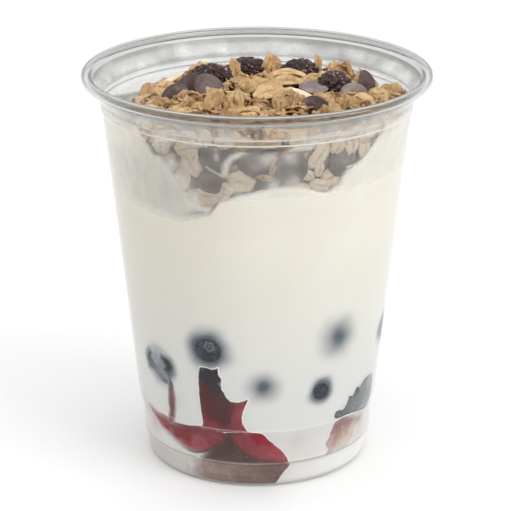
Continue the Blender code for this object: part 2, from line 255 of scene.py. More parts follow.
def eased(points, x):
    """Smoothly joined value at x of (position, value) pairs in rising order."""
    for (x0, y0), (x1, y1) in zip(points, points[1:]):
        if x <= x1:
            share = (1 - cos(pi * (x - x0) / (x1 - x0))) / 2
            return y0 + (y1 - y0) * share
    return points[-1][1]


YOGURT_EDGE = ((-180, 0.0995), (-85, 0.0965), (-55, 0.0820), (-32, 0.0805), (-19, 0.0830),
               (-13, 0.0878), (-6, 0.0895), (3, 0.0912), (14, 0.0920), (27, 0.0893), (33, 0.0912),
               (38, 0.0955), (48, 0.0995), (60, 0.1010), (110, 0.1005), (180, 0.0995))
YOGURT_MIDDLE = 0.0905
YOGURT_STEPS = 240             # round the yogurt
YOGURT_ROW = 0.0010            # height of its rows


def bell(value, middle, width):
    """1 at the middle, falling off smoothly to both sides."""
    return exp(-((value - middle) / width) ** 2)


def yogurt_top(angle, edge, share):
    """Height of the yogurt under the granola at a share of the way to the wall."""
    climb = 0.0016 * bell(share, 0.86, 0.1) if abs(angle) > 60 else 0.0
    return YOGURT_MIDDLE + (edge - YOGURT_MIDDLE) * share ** 2 + climb


side_rows = [point for point in offset_line(inner_line, -INTO_WALL) if point.y < STEP_TOP + 0.001]
row_height = side_rows[-1].y
while row_height < YOGURT_MIDDLE - YOGURT_ROW:
    row_height += YOGURT_ROW
    side_rows.append(Vector((wall_radius(row_height) + INTO_WALL, row_height)))
rim_radius = wall_radius(YOGURT_MIDDLE) + INTO_WALL
top_rows = [Vector((rim_radius * (1 - step / 16), YOGURT_MIDDLE)) for step in range(17)]
yogurt_bmesh = turned(side_rows + top_rows, YOGURT_STEPS)
for vert in yogurt_bmesh.verts:
    x, y, z = vert.co
    if z < STEP_TOP + 0.002:
        continue
    angle = angle_at(x, y)
    edge = eased(YOGURT_EDGE, angle) + 0.0006 * noise.noise(Vector((x, y, 0)) * 260)
    if z > YOGURT_MIDDLE - 0.00001:
        share = min(hypot(x, y) / rim_radius, 1.0)
        vert.co = place_at(angle, share * (wall_radius(edge) + INTO_WALL), yogurt_top(angle, edge, share))
    else:
        height = STEP_TOP + (z - STEP_TOP) * (edge - STEP_TOP) / (YOGURT_MIDDLE - STEP_TOP)
        vert.co = place_at(angle, wall_radius(height) + INTO_WALL, height)

# Blueberries in the yogurt: angle, height, radius, radius of the patch that touches the wall, width
# of the soft shade round that patch, and the way the crown faces as (outward, sideways, up)
BERRIES = (
    (-49.5, 0.0340, 0.0050, 0.0036, 0.0042, (0.3, -0.6, 0.7)),
    (-21.5, 0.0430, 0.0055, 0.0043, 0.0044, (0.97, 0.10, 0.12)),
    (2.5, 0.0325, 0.0052, 0.0012, 0.0056, (-0.4, 0.3, 0.8)),
    (30.5, 0.0292, 0.0050, 0.0030, 0.0022, (0.2, 0.9, 0.3)),
    (37.5, 0.0450, 0.0056, 0.0014, 0.0078, (0.5, 0.7, -0.4)),
    (77, 0.0400, 0.0050, 0.0034, 0.0034, (0.6, -0.2, 0.7)),
    (60, 0.0225, 0.0056, 0.0030, 0.0028, (0.3, 0.5, 0.8)),
    (118, 0.0310, 0.0050, 0.0030, 0.0034, (0.8, 0.3, 0.5)),
    (-138, 0.0360, 0.0051, 0.0034, 0.0034, (0.5, 0.6, 0.6)),
)
# Soft shades of fruit under thin yogurt: angle, height, reach and share of pink in them
BLUSHES = ((20, 0.0125, 0.0045, 0.28), (27, 0.0100, 0.0040, 0.20), (-62, 0.0135, 0.0045, 0.50),
           (-70, 0.0165, 0.0040, 0.55), (62, 0.0120, 0.0050, 0.30), (-39, 0.0250, 0.0030, 0.18))


def wall_gap(angle, height, other_angle, other_height):
    """Distance over the wall between two of its points."""
    turn = (angle - other_angle + 180) % 360 - 180
    return hypot(radians(turn) * wall_radius(height), height - other_height)


shade_layer = yogurt_bmesh.verts.layers.float.new("berry_shade")
blush_layer = yogurt_bmesh.verts.layers.float.new("blush")
for vert in yogurt_bmesh.verts:
    x, y, z = vert.co
    if z > 0.062 or hypot(x, y) < 0.030:
        continue
    angle = angle_at(x, y)
    waver = 0.0009 * noise.noise(Vector((x, y, z)) * 260)
    shade = 0.0
    for berry_angle, berry_height, _, contact, halo, _ in BERRIES:
        away = wall_gap(angle, z, berry_angle, berry_height) + waver
        shade = max(shade, 1 - max(away - contact, 0.0) / halo)
    vert[shade_layer] = max(shade, 0.0) ** 1.8
    blush = 0.0
    for blush_angle, blush_height, reach, share in BLUSHES:
        away = wall_gap(angle, z, blush_angle, blush_height) / reach
        blush = max(blush, share * exp(-away * away * 1.5))
    vert[blush_layer] = blush


def ramp(tree, value, *stops, interpolation="EASE"):
    """A grey ramp between two (position, brightness) stops."""
    node = tree.nodes.new("ShaderNodeValToRGB")
    node.color_ramp.interpolation = interpolation
    for element, (position, brightness) in zip(node.color_ramp.elements, stops):
        element.position = position
        element.color = (brightness, brightness, brightness, 1)
    tree.links.new(value, node.inputs[0])
    return node.outputs[0]


def along_axis(tree, axis):
    """The place along one of the piece's own axes."""
    place = tree.nodes.new("ShaderNodeTexCoord")
    parts = tree.nodes.new("ShaderNodeSeparateXYZ")
    tree.links.new(place.outputs["Object"], parts.inputs[0])
    return parts.outputs[axis]


def grade(tree, value, low, high):
    """From 0 at low to 1 at high."""
    node = tree.nodes.new("ShaderNodeMapRange")
    for given, name in ((value, "Value"), (low, "From Min"), (high, "From Max")):
        feed(tree, given, node.inputs[name])
    return node.outputs["Result"]


def worked_out(tree, operation, first, second=0.0):
    """A Math node's result over two values, each a socket or a number."""
    node = tree.nodes.new("ShaderNodeMath")
    node.operation = operation
    feed(tree, first, node.inputs[0])
    feed(tree, second, node.inputs[1])
    return node.outputs[0]


def effect_group(name, inputs):
    """The empty node group of an effect that several materials use, its inputs and its output."""
    group = bpy.data.node_groups.new(name, "ShaderNodeTree")
    for label, value in inputs.items():
        kind = "NodeSocketVector" if isinstance(value, tuple) else "NodeSocketFloat"
        group.interface.new_socket(label, in_out="INPUT", socket_type=kind).default_value = value
    group.interface.new_socket("Share", in_out="OUTPUT", socket_type="NodeSocketFloat")
    given = group.nodes.new("NodeGroupInput").outputs
    return group, given, group.nodes.new("NodeGroupOutput").inputs["Share"]


def placed_effect(tree, group, values):
    """What an effect puts out in one material, with that material's own values."""
    node = tree.nodes.new("ShaderNodeGroup")
    node.node_tree = group
    for label, value in values.items():
        node.inputs[label].default_value = value
    return node.outputs["Share"]


grain_group, given, share_out = effect_group("grain", {"Scale": 300.0, "Detail": 3.0, "Roughness": 0.5,
                                                       "Stretch": (1.0, 1.0, 1.0)})
own_place = grain_group.nodes.new("ShaderNodeTexCoord")
stretched = grain_group.nodes.new("ShaderNodeMapping")
cloud = grain_group.nodes.new("ShaderNodeTexNoise")
for start, end in ((own_place.outputs["Object"], stretched.inputs["Vector"]),
                   (given["Stretch"], stretched.inputs["Scale"]),
                   (stretched.outputs[0], cloud.inputs["Vector"]),
                   (given["Scale"], cloud.inputs["Scale"]), (given["Detail"], cloud.inputs["Detail"]),
                   (given["Roughness"], cloud.inputs["Roughness"]), (cloud.outputs[0], share_out)):
    grain_group.links.new(start, end)

band_group, given, share_out = effect_group("height_band", {"Middle": 0.0, "Half Width": 0.001})
band_away = worked_out(band_group, "SUBTRACT", along_axis(band_group, "Z"), given["Middle"])
band_core = worked_out(band_group, "MULTIPLY", given["Half Width"], 0.35)
band_away = worked_out(band_group, "ABSOLUTE", band_away)
band_group.links.new(grade(band_group, band_away, given["Half Width"], band_core), share_out)


def grain(tree, scale, detail=3.0, roughness=0.5, stretch=(1, 1, 1)):
    """Noise over the piece's own space."""
    return placed_effect(tree, grain_group, {"Scale": scale, "Detail": detail, "Roughness": roughness,
                                             "Stretch": stretch})


def height_band(tree, middle, half_width):
    """1 at the middle height of a band round the cup, falling to 0 at its sides."""
    return placed_effect(tree, band_group, {"Middle": middle, "Half Width": half_width})


def bump(tree, shader, height, strength, distance):
    """Relief from a height socket."""
    node = tree.nodes.new("ShaderNodeBump")
    node.inputs["Strength"].default_value = strength
    node.inputs["Distance"].default_value = distance
    tree.links.new(height, node.inputs["Height"])
    tree.links.new(node.outputs[0], shader.inputs["Normal"])


yogurt_white, tree, shader = node_material("yogurt", 0.4, 0.0)
clouds = ramp(tree, grain(tree, 45, 2.0), (0.35, 0.0), (0.7, 1.0))
cream = colour_mix(tree, clouds, (0.86, 0.835, 0.745), (0.885, 0.865, 0.795))
# Painted shade: darker and warmer towards the left, the side away from the key light.
cream = colour_mix(tree, grade(tree, along_axis(tree, "X"), -0.034, 0.004), (0.825, 0.795, 0.700), cream)
cream = colour_mix(tree, grade(tree, along_axis(tree, "Z"), 0.030, 0.075), (0.79, 0.79, 0.77), cream)
foot_painted_shade = colour_mix(tree, grade(tree, along_axis(tree, "X"), -0.030, 0.030), (0.66, 0.63, 0.60),
                       (0.97, 0.96, 0.94))
# The foot, the line over it and the step: height, half width and colour.  The foot is painted shade to
# the left and painted light to the right, the dark line is painted shade along the sheet's ledge over
# the foot, and the light line is a painted highlight along the stacking step
for middle, half_width, tint in ((0.0035, 0.0060, foot_painted_shade), (0.0078, 0.00030, (0.52, 0.48, 0.45)),
                                 (STEP_TOP + 0.0001, 0.0004, (0.86, 0.85, 0.84))):
    cream = colour_mix(tree, height_band(tree, middle, half_width), cream, tint)
shaded = colour_mix(tree, attribute(tree, "berry_shade"), cream, (0.12, 0.15, 0.185))
blushed = colour_mix(tree, attribute(tree, "blush"), shaded, (0.62, 0.42, 0.40))
tree.links.new(blushed, shader.inputs["Base Color"])
shader.inputs["Subsurface Weight"].default_value = 0.25
shader.inputs["Subsurface Radius"].default_value = (0.003, 0.0025, 0.002)
shader.inputs["Subsurface Scale"].default_value = 1.0
piece("yogurt_filling", yogurt_bmesh, yogurt_white, "yogurt", "yogurt")


# ----------------------------------------------------------------------------------- blueberries
# Round berries with a dark skin under a pale bloom.  Each is pressed flat where it touches the
# wall, and greys towards the yogurt that covers the rest of it.

PRESSED = 0.00034              # how far pressed fruit reaches into the sheet
BURST = (1, 7)                 # these two are burst skins, made as patches in the next section


def inside_wall(spot, margin):
    """The spot moved inwards where it is nearer to the wall than the margin."""
    limit = wall_radius(spot.z) - margin
    reach = hypot(spot.x, spot.y)
    if reach <= limit:
        return spot
    return Vector((spot.x * limit / reach, spot.y * limit / reach, spot.z))


blue_skin, tree, shader = node_material("blueberry_skin", 0.55, 0.0)
bloom = ramp(tree, grain(tree, 420, 4.0, 0.65), (0.38, 0.0), (0.68, 1.0))
skin = colour_mix(tree, bloom, (0.024, 0.028, 0.040), (0.074, 0.088, 0.110))
skin = colour_mix(tree, attribute(tree, "crown"), skin, (0.30, 0.34, 0.36))
pressed = ramp(tree, attribute(tree, "pressed"), (0.0, 0.0), (0.75, 1.0))
tree.links.new(colour_mix(tree, pressed, (0.13, 0.15, 0.175), skin), shader.inputs["Base Color"])

for index, (angle, height, radius, contact, _, crown) in enumerate(BERRIES, start=1):
    if index in BURST:
        continue
    berry_bmesh = bmesh.new()
    bmesh.ops.create_uvsphere(berry_bmesh, u_segments=60, v_segments=60, radius=radius)
    crown_layer = berry_bmesh.verts.layers.float.new("crown")
    for vert in berry_bmesh.verts:
        x, y, z = vert.co / radius
        vert.co.z *= 0.9
        if z <= 0:
            continue
        from_pole, round_pole = hypot(x, y), atan2(y, x)
        ring = bell(from_pole, 0.27 + 0.03 * sin(5 * round_pole), 0.07)
        vert.co.z += radius * (0.10 * ring - 0.22 * bell(from_pole, 0, 0.2))
        rays = 0.5 + 0.5 * cos(5 * round_pole)
        line = bell(from_pole, 0.20 + 0.07 * rays, 0.05) + 0.7 * bell(from_pole, 0, 0.07)
        vert[crown_layer] = line * (0.6 + 0.4 * noise.noise(Vector((x, y, z)) * 9))
    lean = Vector((0, 0, 1)).rotation_difference(Vector(crown)).to_matrix().to_4x4()
    facing = Matrix.Rotation(radians(angle - 90), 4, "Z")
    inset = sqrt(radius ** 2 - contact ** 2) * 0.97
    centre = place_at(angle, wall_radius(height) - inset, height + 0.1 * radius)
    berry_bmesh.transform(Matrix.Translation(centre) @ facing @ lean)
    pressed_layer = berry_bmesh.verts.layers.float.new("pressed")
    for vert in berry_bmesh.verts:
        past_wall = hypot(vert.co.x, vert.co.y) - wall_radius(vert.co.z) - PRESSED
        vert[pressed_layer] = clamped(past_wall / 0.0004 + 0.3)
        vert.co = inside_wall(vert.co, -PRESSED)
    piece(f"blueberry_skin_{index}", berry_bmesh, blue_skin, "blue_skin", f"blueberry_{index}")


# ------------------------------------------------------------------------- red fruit and its juice
# Soft thawed fruit pressed flat against the wall, with smooth outlines given round the wall as
# (angle, height in mm).  Each patch is a field of fine cells that bulges to the wall inside its
# outline, dives behind the yogurt outside it, and has a wall of flesh behind.

CELL = 0.00026                 # size of a patch's cells
PATCH_MARGIN = 0.0009          # how far a patch runs on outside its outline
FRUIT_WALL = 0.0335            # radius of the wall at the fruit
DEGREE = 0.585                 # mm round that wall in one degree


def smooth_outline(points, steps=7):
    """A closed curve through the (angle, height in mm) points, as metres over the wall."""
    curve = []
    count = len(points)
    for index in range(count):
        p0, p1, p2, p3 = (Vector(points[(index + shift) % count]) for shift in (-1, 0, 1, 2))
        for step in range(steps):
            t = step / steps
            curve.append(0.5 * (2 * p1 + (p2 - p0) * t + (2 * p0 - 5 * p1 + 4 * p2 - p3) * t * t
                                + (3 * p1 - p0 - 3 * p2 + p3) * t ** 3))
    return np.array([(angle, height / 1000) for angle, height in curve])


def depth_inside(outline, angles, heights):
    """Signed distance of wall points to an outline, positive inside."""
    along = radians(1.0) * FRUIT_WALL
    ax, ay = outline[:, 0] * along, outline[:, 1]
    bx, by = np.roll(ax, -1), np.roll(ay, -1)
    px, py = angles[:, None] * along, heights[:, None]
    share = ((px - ax) * (bx - ax) + (py - ay) * (by - ay)) / ((bx - ax) ** 2 + (by - ay) ** 2 + 1e-18)
    share = np.clip(share, 0, 1)
    away = np.hypot(px - ax - share * (bx - ax), py - ay - share * (by - ay)).min(axis=1)
    crossing = (ay > py) != (by > py)
    right_of = px < (bx - ax) * (py - ay) / (by - ay + 1e-18) + ax
    inside = (crossing & right_of).sum(axis=1) % 2 == 1
    return np.where(inside, away, -away)


CREAM = Vector((0.78, 0.77, 0.735))
FADE = 0.0021                  # how wide the soft edges are


def outward(spot):
    """The level way from the axis through a spot."""
    return Vector((spot.x, spot.y, 0)).normalized()


def wall_patch(name, points, proud, thickness, material, slot, tint, *nodes, soft=(), fade=FADE):
    """Fruit or juice lying against the wall inside an outline.

    tint(angle, height) is its colour.  Near the (angle, height in mm, reach in mm, colour) places
    in soft its edge has no border and fades to that colour.
    """
    outline = smooth_outline(points)
    low_angle, low_height = outline.min(axis=0) - (degrees(PATCH_MARGIN / FRUIT_WALL), PATCH_MARGIN)
    high_angle, high_height = outline.max(axis=0) + (degrees(PATCH_MARGIN / FRUIT_WALL), PATCH_MARGIN)
    low_height = max(low_height, 0.0006)
    across = int(radians(high_angle - low_angle) * FRUIT_WALL / CELL)
    upward = int((high_height - low_height) / CELL)
    bm = bmesh.new()
    bmesh.ops.create_grid(bm, x_segments=across, y_segments=upward, size=0.5)
    flat = np.array([vert.co[:2] for vert in bm.verts]) + 0.5
    angles = low_angle + flat[:, 0] * (high_angle - low_angle)
    heights = low_height + flat[:, 1] * (high_height - low_height)
    depths = depth_inside(outline, angles, heights)
    inside_layer = bm.verts.layers.float.new("inside")
    tint_layer = bm.verts.layers.float_color.new("tint")
    outside = []
    for vert, angle, height, depth in zip(bm.verts, angles, heights, depths):
        if depth < -PATCH_MARGIN:
            outside.append(vert)
            continue
        here = Vector((angle * DEGREE, height * 1000, 0))
        depth += 0.00016 * noise.noise(here * 1.3)
        rounding = 0.00024 * max(1 - max(depth, 0) / 0.0005, 0) ** 2 + 1.5 * max(-depth, 0)
        vert.co = place_at(angle, wall_radius(height) + proud - rounding, height)
        colour, inside = Vector(tint(angle, height * 1000)), clamped(depth / 0.004)
        for soft_angle, soft_height, reach, beyond in soft:
            away = (here - Vector((soft_angle * DEGREE, soft_height, 0))).length / reach
            share = min(exp(-away * away) * 1.7, 1.0)
            colour = colour.lerp(beyond, share * clamped(1 - depth / fade) ** 1.4)
            inside += (1 - inside) * share
        vert[inside_layer] = inside
        vert[tint_layer] = (*colour, 1.0)
    bmesh.ops.delete(bm, geom=outside, context="VERTS")
    bmesh.ops.recalc_face_normals(bm, faces=bm.faces)
    faces = list(bm.faces)
    if faces[0].normal.dot(outward(faces[0].calc_center_median())) < 0:
        bmesh.ops.reverse_faces(bm, faces=faces)
    bmesh.ops.solidify(bm, geom=faces, thickness=thickness)
    piece(name, bm, material, slot, *nodes)


def wandering(place):
    """A smoothly wandering offset at a place, the same in every run."""
    return Vector([noise.noise(place + Vector((shift, 0, shift))) for shift in (0.0, 9.3, 17.9)])


def tinted(tints):
    """A tint function that blends (angle, height in mm, reach in mm, colour) places."""
    def tint(angle, height):
        total, blend = 0.0, Vector((0, 0, 0))
        waver = wandering(Vector((angle * DEGREE, height, 3.0)) * 0.55) * 0.9
        for tint_angle, tint_height, reach, colour in tints:
            away = hypot((angle - tint_angle) * DEGREE + waver.x, height - tint_height + waver.y) / reach
            weight = exp(-away * away * 1.8) + 0.0001 / (0.02 + away * away)
            total += weight
            blend += Vector(colour) * weight
        return blend / total
    return tint


fruit_tint = tinted((
    (-21, 38, 2.4, (0.022, 0.017, 0.028)), (-22, 34.5, 2.6, (0.028, 0.020, 0.030)),
    (-16, 35, 2.2, (0.030, 0.022, 0.032)), (-18, 31, 2.0, (0.040, 0.024, 0.030)),
    (-25, 32, 1.6, (0.105, 0.020, 0.018)), (-23, 28.5, 2.2, (0.125, 0.014, 0.014)),
    (-17, 27, 2.4, (0.110, 0.026, 0.026)), (-10, 27.5, 2.0, (0.150, 0.030, 0.034)),
    (-24, 23, 2.4, (0.170, 0.016, 0.020)), (-16, 22.5, 2.4, (0.120, 0.022, 0.026)),
    (-14.3, 21.2, 1.1, (0.050, 0.018, 0.024)), (-6.5, 26.5, 2.2, (0.330, 0.050, 0.066)),
    (-7, 22.5, 2.4, (0.360, 0.058, 0.078)), (-12, 18.5, 2.0, (0.290, 0.044, 0.056)),
    (-22, 18.5, 2.4, (0.280, 0.036, 0.048)), (-23, 15.5, 2.4, (0.340, 0.056, 0.072)),
    (-30, 12.8, 2.2, (0.420, 0.092, 0.110)), (-31, 16.8, 1.8, (0.250, 0.030, 0.042)),
    (-38.5, 15.2, 3.0, (0.290, 0.004, 0.014)), (-42.5, 14.0, 1.3, (0.310, 0.006, 0.020)),
    (-40, 11.4, 1.6, (0.420, 0.120, 0.135)), (-47, 12.6, 1.4, (0.380, 0.110, 0.120)),
    (-47, 17.4, 1.4, (0.330, 0.120, 0.120)), (-54.5, 15.6, 3.2, (0.360, 0.004, 0.016)),
    (-61, 16.6, 1.8, (0.400, 0.110, 0.120)), (-6, 14.6, 2.4, (0.360, 0.052, 0.070)),
    (-2, 11.6, 2.2, (0.290, 0.066, 0.076)), (3.5, 12.0, 2.2, (0.420, 0.070, 0.090)),
    (9.5, 11.4, 2.2, (0.440, 0.080, 0.095)), (13.5, 9.0, 1.8, (0.400, 0.100, 0.110)),
    (5, 9.4, 1.6, (0.260, 0.080, 0.082)), (2.3, 16.0, 2.5, (0.380, 0.004, 0.020)),
))


def fruit_material(name, border, border_end, wetness):
    """Soft flesh: its tint broken up by fibres and specks, with a thin border against the yogurt."""
    made, tree, shader = node_material(name, wetness, 0.0)
    inside = attribute(tree, "inside")
    fibres = ramp(tree, grain(tree, 1100, 4.0, 0.7), (0.34, 0.0), (0.72, 1.0))
    mottle = ramp(tree, grain(tree, 330, 3.0, 0.6), (0.35, 0.0), (0.68, 1.0))
    tint = attribute(tree, "tint", "Color")
    darker = colour_mix(tree, 1.0, tint, (0.78, 0.76, 0.76), "MULTIPLY")
    tint = colour_mix(tree, mottle, darker, tint)
    lighter = colour_mix(tree, 1.0, tint, (1.20, 1.22, 1.22), "MULTIPLY")
    flesh = colour_mix(tree, fibres, tint, lighter)
    specks = ramp(tree, grain(tree, 1500, 2.0, 0.5, (1, 1, 0.7)), (0.58, 0.0), (0.68, 1.0))
    near_edge = ramp(tree, inside, (0.12, 1.0), (0.42, 0.0))
    flesh = colour_mix(tree, worked_out(tree, "MULTIPLY", specks, near_edge), flesh,
                       colour_mix(tree, 0.40, flesh, (0.80, 0.62, 0.60)))
    # Painted highlight: a lighter line along the stacking step.
    flesh = colour_mix(tree, height_band(tree, STEP_TOP + 0.0001, 0.00034), flesh,
                       colour_mix(tree, 0.45, flesh, (0.74, 0.62, 0.60)))
    edge = ramp(tree, inside, (border_end * 0.55, 0.0), (border_end, 1.0))
    tree.links.new(colour_mix(tree, edge, border, flesh), shader.inputs["Base Color"])
    bump(tree, shader, fibres, 0.3, 0.0003)
    return made


# The red flesh's white border is the yogurt at its edge, painted brighter than the yogurt as a highlight.
EDGE_HIGHLIGHT_WHITE = (1.0, 0.97, 0.95)
JUICE_DEEP = Vector((0.104, 0.050, 0.043))
red_flesh = fruit_material("red_flesh", EDGE_HIGHLIGHT_WHITE, 0.13, 0.3)

wall_patch(
    "red_fruit_left_flesh",
    ((-66, 18.4), (-62, 15.4), (-55, 12.4), (-47, 10.9), (-39, 9.2), (-31, 9.0), (-23.6, 10.6),
     (-17.8, 13.2), (-13.8, 16.4), (-20, 19), (-27, 19), (-36, 17.9), (-43, 17.4), (-49, 18.3),
     (-56, 18.6), (-62, 19.2)),
    0.00034, 0.006, red_flesh, "red_flesh", fruit_tint, "red_fruit_left",
    soft=((-64, 16, 5, CREAM), (-56, 12.6, 5, CREAM), (-48, 10.6, 4.5, CREAM), (-40, 9.6, 3.5, CREAM),
          (-31, 8.6, 3.2, JUICE_DEEP.lerp(CREAM, 0.25)), (-23, 10.2, 3, JUICE_DEEP),
          (-17, 13.2, 3, JUICE_DEEP)))
wall_patch(
    "red_fruit_column_flesh",
    ((-26.6, 37.3), (-27.6, 33), (-27.7, 28), (-27.3, 24), (-26.8, 20), (-27.6, 17.6), (-22, 17.3),
     (-14, 17.4), (-6, 17.8), (-0.6, 17.7), (-3.8, 18.8), (-6.0, 21.2), (-6.0, 24.2), (-3.4, 28.8),
     (-8, 28.1), (-12, 28.2), (-14.2, 30.2), (-15.6, 32.0), (-15.2, 34.4), (-16.6, 36.0), (-16.8, 38.3),
     (-20, 37.5), (-23, 37.8)),
    0.00036, 0.006, red_flesh, "red_flesh", fruit_tint, "red_fruit_column")
wall_patch(
    "red_fruit_front_flesh",
    ((-14, 17.6), (-12.5, 14.6), (-9.5, 12.2), (-6, 10.4), (-1, 9.0), (7, 8.0), (15.5, 7.6),
     (15.4, 9.4), (12.6, 11.8), (9.6, 13.6), (6.6, 15.5), (2.5, 18.1), (-3.4, 18.5), (-9, 18.4)),
    0.00035, 0.005, red_flesh, "red_flesh", fruit_tint, "red_fruit_front",
    soft=((-13, 15.4, 3, JUICE_DEEP), (-9, 11.6, 3, JUICE_DEEP), (-3.5, 9.4, 3, JUICE_DEEP),
          (4, 8.0, 3, JUICE_DEEP.lerp(Vector((0.34, 0.10, 0.11)), 0.4))))
wall_patch(
    "red_fruit_right_flesh",
    ((40, 18), (46, 18.4), (56, 17.6), (67, 16), (64, 12.6), (56, 9.6), (49, 7.9), (42, 7.6), (36, 7.6),
     (37.4, 9.2), (35.8, 11.2), (38, 13), (38.6, 15.6)),
    0.00034, 0.005, red_flesh, "red_flesh",
    tinted(((44, 16.6, 2.6, (0.44, 0.235, 0.220)), (51, 16.6, 2.6, (0.46, 0.27, 0.25)),
            (59, 15.8, 2.2, (0.60, 0.47, 0.42)), (41.5, 13.4, 2.2, (0.50, 0.31, 0.285)),
            (48, 13.0, 2.4, (0.56, 0.40, 0.345)), (56, 12.4, 2.6, (0.74, 0.66, 0.56)),
            (39, 10.2, 2.2, (0.60, 0.43, 0.40)), (46, 9.6, 2.6, (0.76, 0.66, 0.58)),
            (38, 8.4, 1.4, (0.56, 0.40, 0.37)))),
    "red_fruit_right",
    soft=((66, 15.6, 5, CREAM), (62, 12, 5, CREAM), (55, 9, 5, CREAM), (46, 7.4, 4.5, CREAM),
          (58, 17.4, 4, CREAM)))
deep_red = tinted(((145, 17, 5, (0.27, 0.020, 0.032)), (158, 19, 4, (0.33, 0.055, 0.070)),
                   (150, 11, 3, (0.38, 0.100, 0.110)), (135, 14, 4, (0.24, 0.028, 0.040)),
                   (-105, 18, 5, (0.28, 0.022, 0.034)), (-115, 13, 3, (0.38, 0.095, 0.105)),
                   (-96, 14, 3, (0.34, 0.050, 0.062))))
wall_patch(
    "red_fruit_back_flesh",
    ((128, 17), (134, 22), (144, 23.5), (156, 22), (166, 18), (170, 12), (160, 9.4), (146, 9), (134, 11)),
    0.00034, 0.006, red_flesh, "red_flesh", deep_red, "red_fruit_back",
    soft=((168, 12, 5, CREAM), (158, 9, 5, CREAM), (140, 9, 4, CREAM)))
wall_patch(
    "red_fruit_side_flesh",
    ((-122, 18), (-116, 23), (-106, 24.5), (-96, 22), (-89, 16), (-92, 11), (-102, 9.2), (-114, 10.5)),
    0.00034, 0.006, red_flesh, "red_flesh", deep_red, "red_fruit_side",
    soft=((-92, 11, 5, CREAM), (-103, 9, 4.5, CREAM)))
wall_patch(
    "red_streak",
    ((-43.0, 32.4), (-40.8, 27), (-40.4, 23.5), (-41.4, 20), (-43.4, 17.0), (-46.5, 15.6),
     (-48.4, 17.2), (-46.6, 20), (-46.4, 24), (-45.2, 28)),
    0.00037, 0.002, red_flesh, "red_flesh",
    tinted(((-43, 29, 2, (0.15, 0.090, 0.092)), (-43, 25, 2.4, (0.25, 0.105, 0.105)),
            (-44, 21, 2.2, (0.25, 0.075, 0.080)), (-46, 17, 2, (0.34, 0.090, 0.100)))),
    soft=((-45.6, 24, 4.0, CREAM), (-46.4, 20, 3, CREAM)),
    fade=0.0011)

# The two berries that have burst: their wrinkled skins lie flat to the wall
burst_skin = fruit_material("burst_blueberry_skin", (0.085, 0.098, 0.108), 0.17, 0.4)
SHADED_CREAM = Vector((0.64, 0.67, 0.695))
wall_patch(
    "blueberry_skin_1",
    ((-61, 32), (-61.5, 35.8), (-58, 38.4), (-53, 39.2), (-47, 39.2), (-41.5, 38.4), (-38, 35.6),
     (-38.6, 32.4), (-41.6, 30.2), (-45.5, 28.8), (-50, 29.2), (-55, 30), (-59, 30.6)),
    0.00033, 0.004, burst_skin, "blue_skin",
    tinted(((-58.6, 35.8, 1.5, (0.016, 0.022, 0.030)), (-60, 32.6, 1.3, (0.10, 0.12, 0.14)),
            (-55, 33.6, 1.2, (0.13, 0.155, 0.17)), (-52.5, 35.6, 1.3, (0.42, 0.46, 0.49)),
            (-52, 38.4, 1.4, (0.46, 0.51, 0.55)), (-50.5, 32.6, 1.1, (0.26, 0.30, 0.325)),
            (-47.5, 34.6, 1.0, (0.34, 0.38, 0.41)), (-43.5, 35.4, 1.9, (0.014, 0.018, 0.026)),
            (-45, 38.2, 1.2, (0.09, 0.11, 0.13)), (-41.5, 32.2, 1.3, (0.11, 0.13, 0.145)),
            (-46.5, 31.4, 1.0, (0.30, 0.34, 0.36)), (-52.5, 30.4, 1.2, (0.20, 0.235, 0.26)),
            (-45.5, 29.2, 1.0, (0.12, 0.13, 0.14)))),
    "blueberry_1",
    soft=((-57, 40, 4.5, SHADED_CREAM), (-47, 40.6, 4.5, SHADED_CREAM), (-38.6, 37.6, 3.6, SHADED_CREAM),
          (-37, 32.6, 3.6, SHADED_CREAM), (-62.4, 35, 3.6, SHADED_CREAM), (-61, 31, 3.2, SHADED_CREAM),
          (-55, 29, 2.8, SHADED_CREAM), (-41, 29.6, 1.6, SHADED_CREAM)), fade=0.0024)
wall_patch(
    "blueberry_skin_7",
    ((69, 27.4), (72.5, 23), (71, 19), (67.4, 16.8), (56, 18.0), (48, 18.6), (40.2, 18.8), (39.6, 20.8),
     (42, 21.4), (44.5, 20.9), (46.8, 22.2), (48.4, 24.6), (51, 24.2), (54, 26.4), (57, 25.6),
     (61, 27.4)),
    0.00035, 0.004, burst_skin, "blue_skin",
    tinted(((44, 19.8, 1.6, (0.130, 0.155, 0.168)), (48, 21, 1.8, (0.19, 0.225, 0.24)),
            (54, 21, 3, (0.25, 0.29, 0.305)), (54, 24.4, 1.5, (0.10, 0.12, 0.13)),
            (60, 25.5, 2, (0.26, 0.30, 0.315)), (62, 20, 3, (0.31, 0.345, 0.355)),
            (68, 23, 3, (0.36, 0.40, 0.41)))),
    "blueberry_7", soft=((72, 25, 3, SHADED_CREAM), (73, 20, 3, SHADED_CREAM)), fade=0.0012)

dark_juice = fruit_material("dark_juice", (0.16, 0.10, 0.09), 0.02, 0.3)


def juice_tint(angle, height):
    """Dark brown between the fruit, thinner and greyer in the foot and towards the left."""
    deep = JUICE_DEEP.lerp(Vector((0.140, 0.080, 0.070)), clamped((12 - height) / 5))
    thin = Vector((0.44, 0.325, 0.295)).lerp(Vector((0.25, 0.165, 0.150)), clamped((angle + 25) / 34))
    thin *= 1 - 0.16 * bell(height, 3.1, 0.35) - 0.12 * bell(height, 1.9, 0.3)
    colour = deep.lerp(thin, clamped((7.9 - height) / 0.5))
    # Painted highlight: a light line just above the foot's ledge; painted shade: a dark line on the ledge's
    # face.
    colour = colour.lerp(Vector((0.62, 0.52, 0.48)), 0.8 * bell(height, 7.9, 0.25))
    colour *= 1 - 0.45 * bell(height, 7.35, 0.22)
    return colour.lerp(CREAM, clamped((-28 - angle) / 9) ** 0.8)


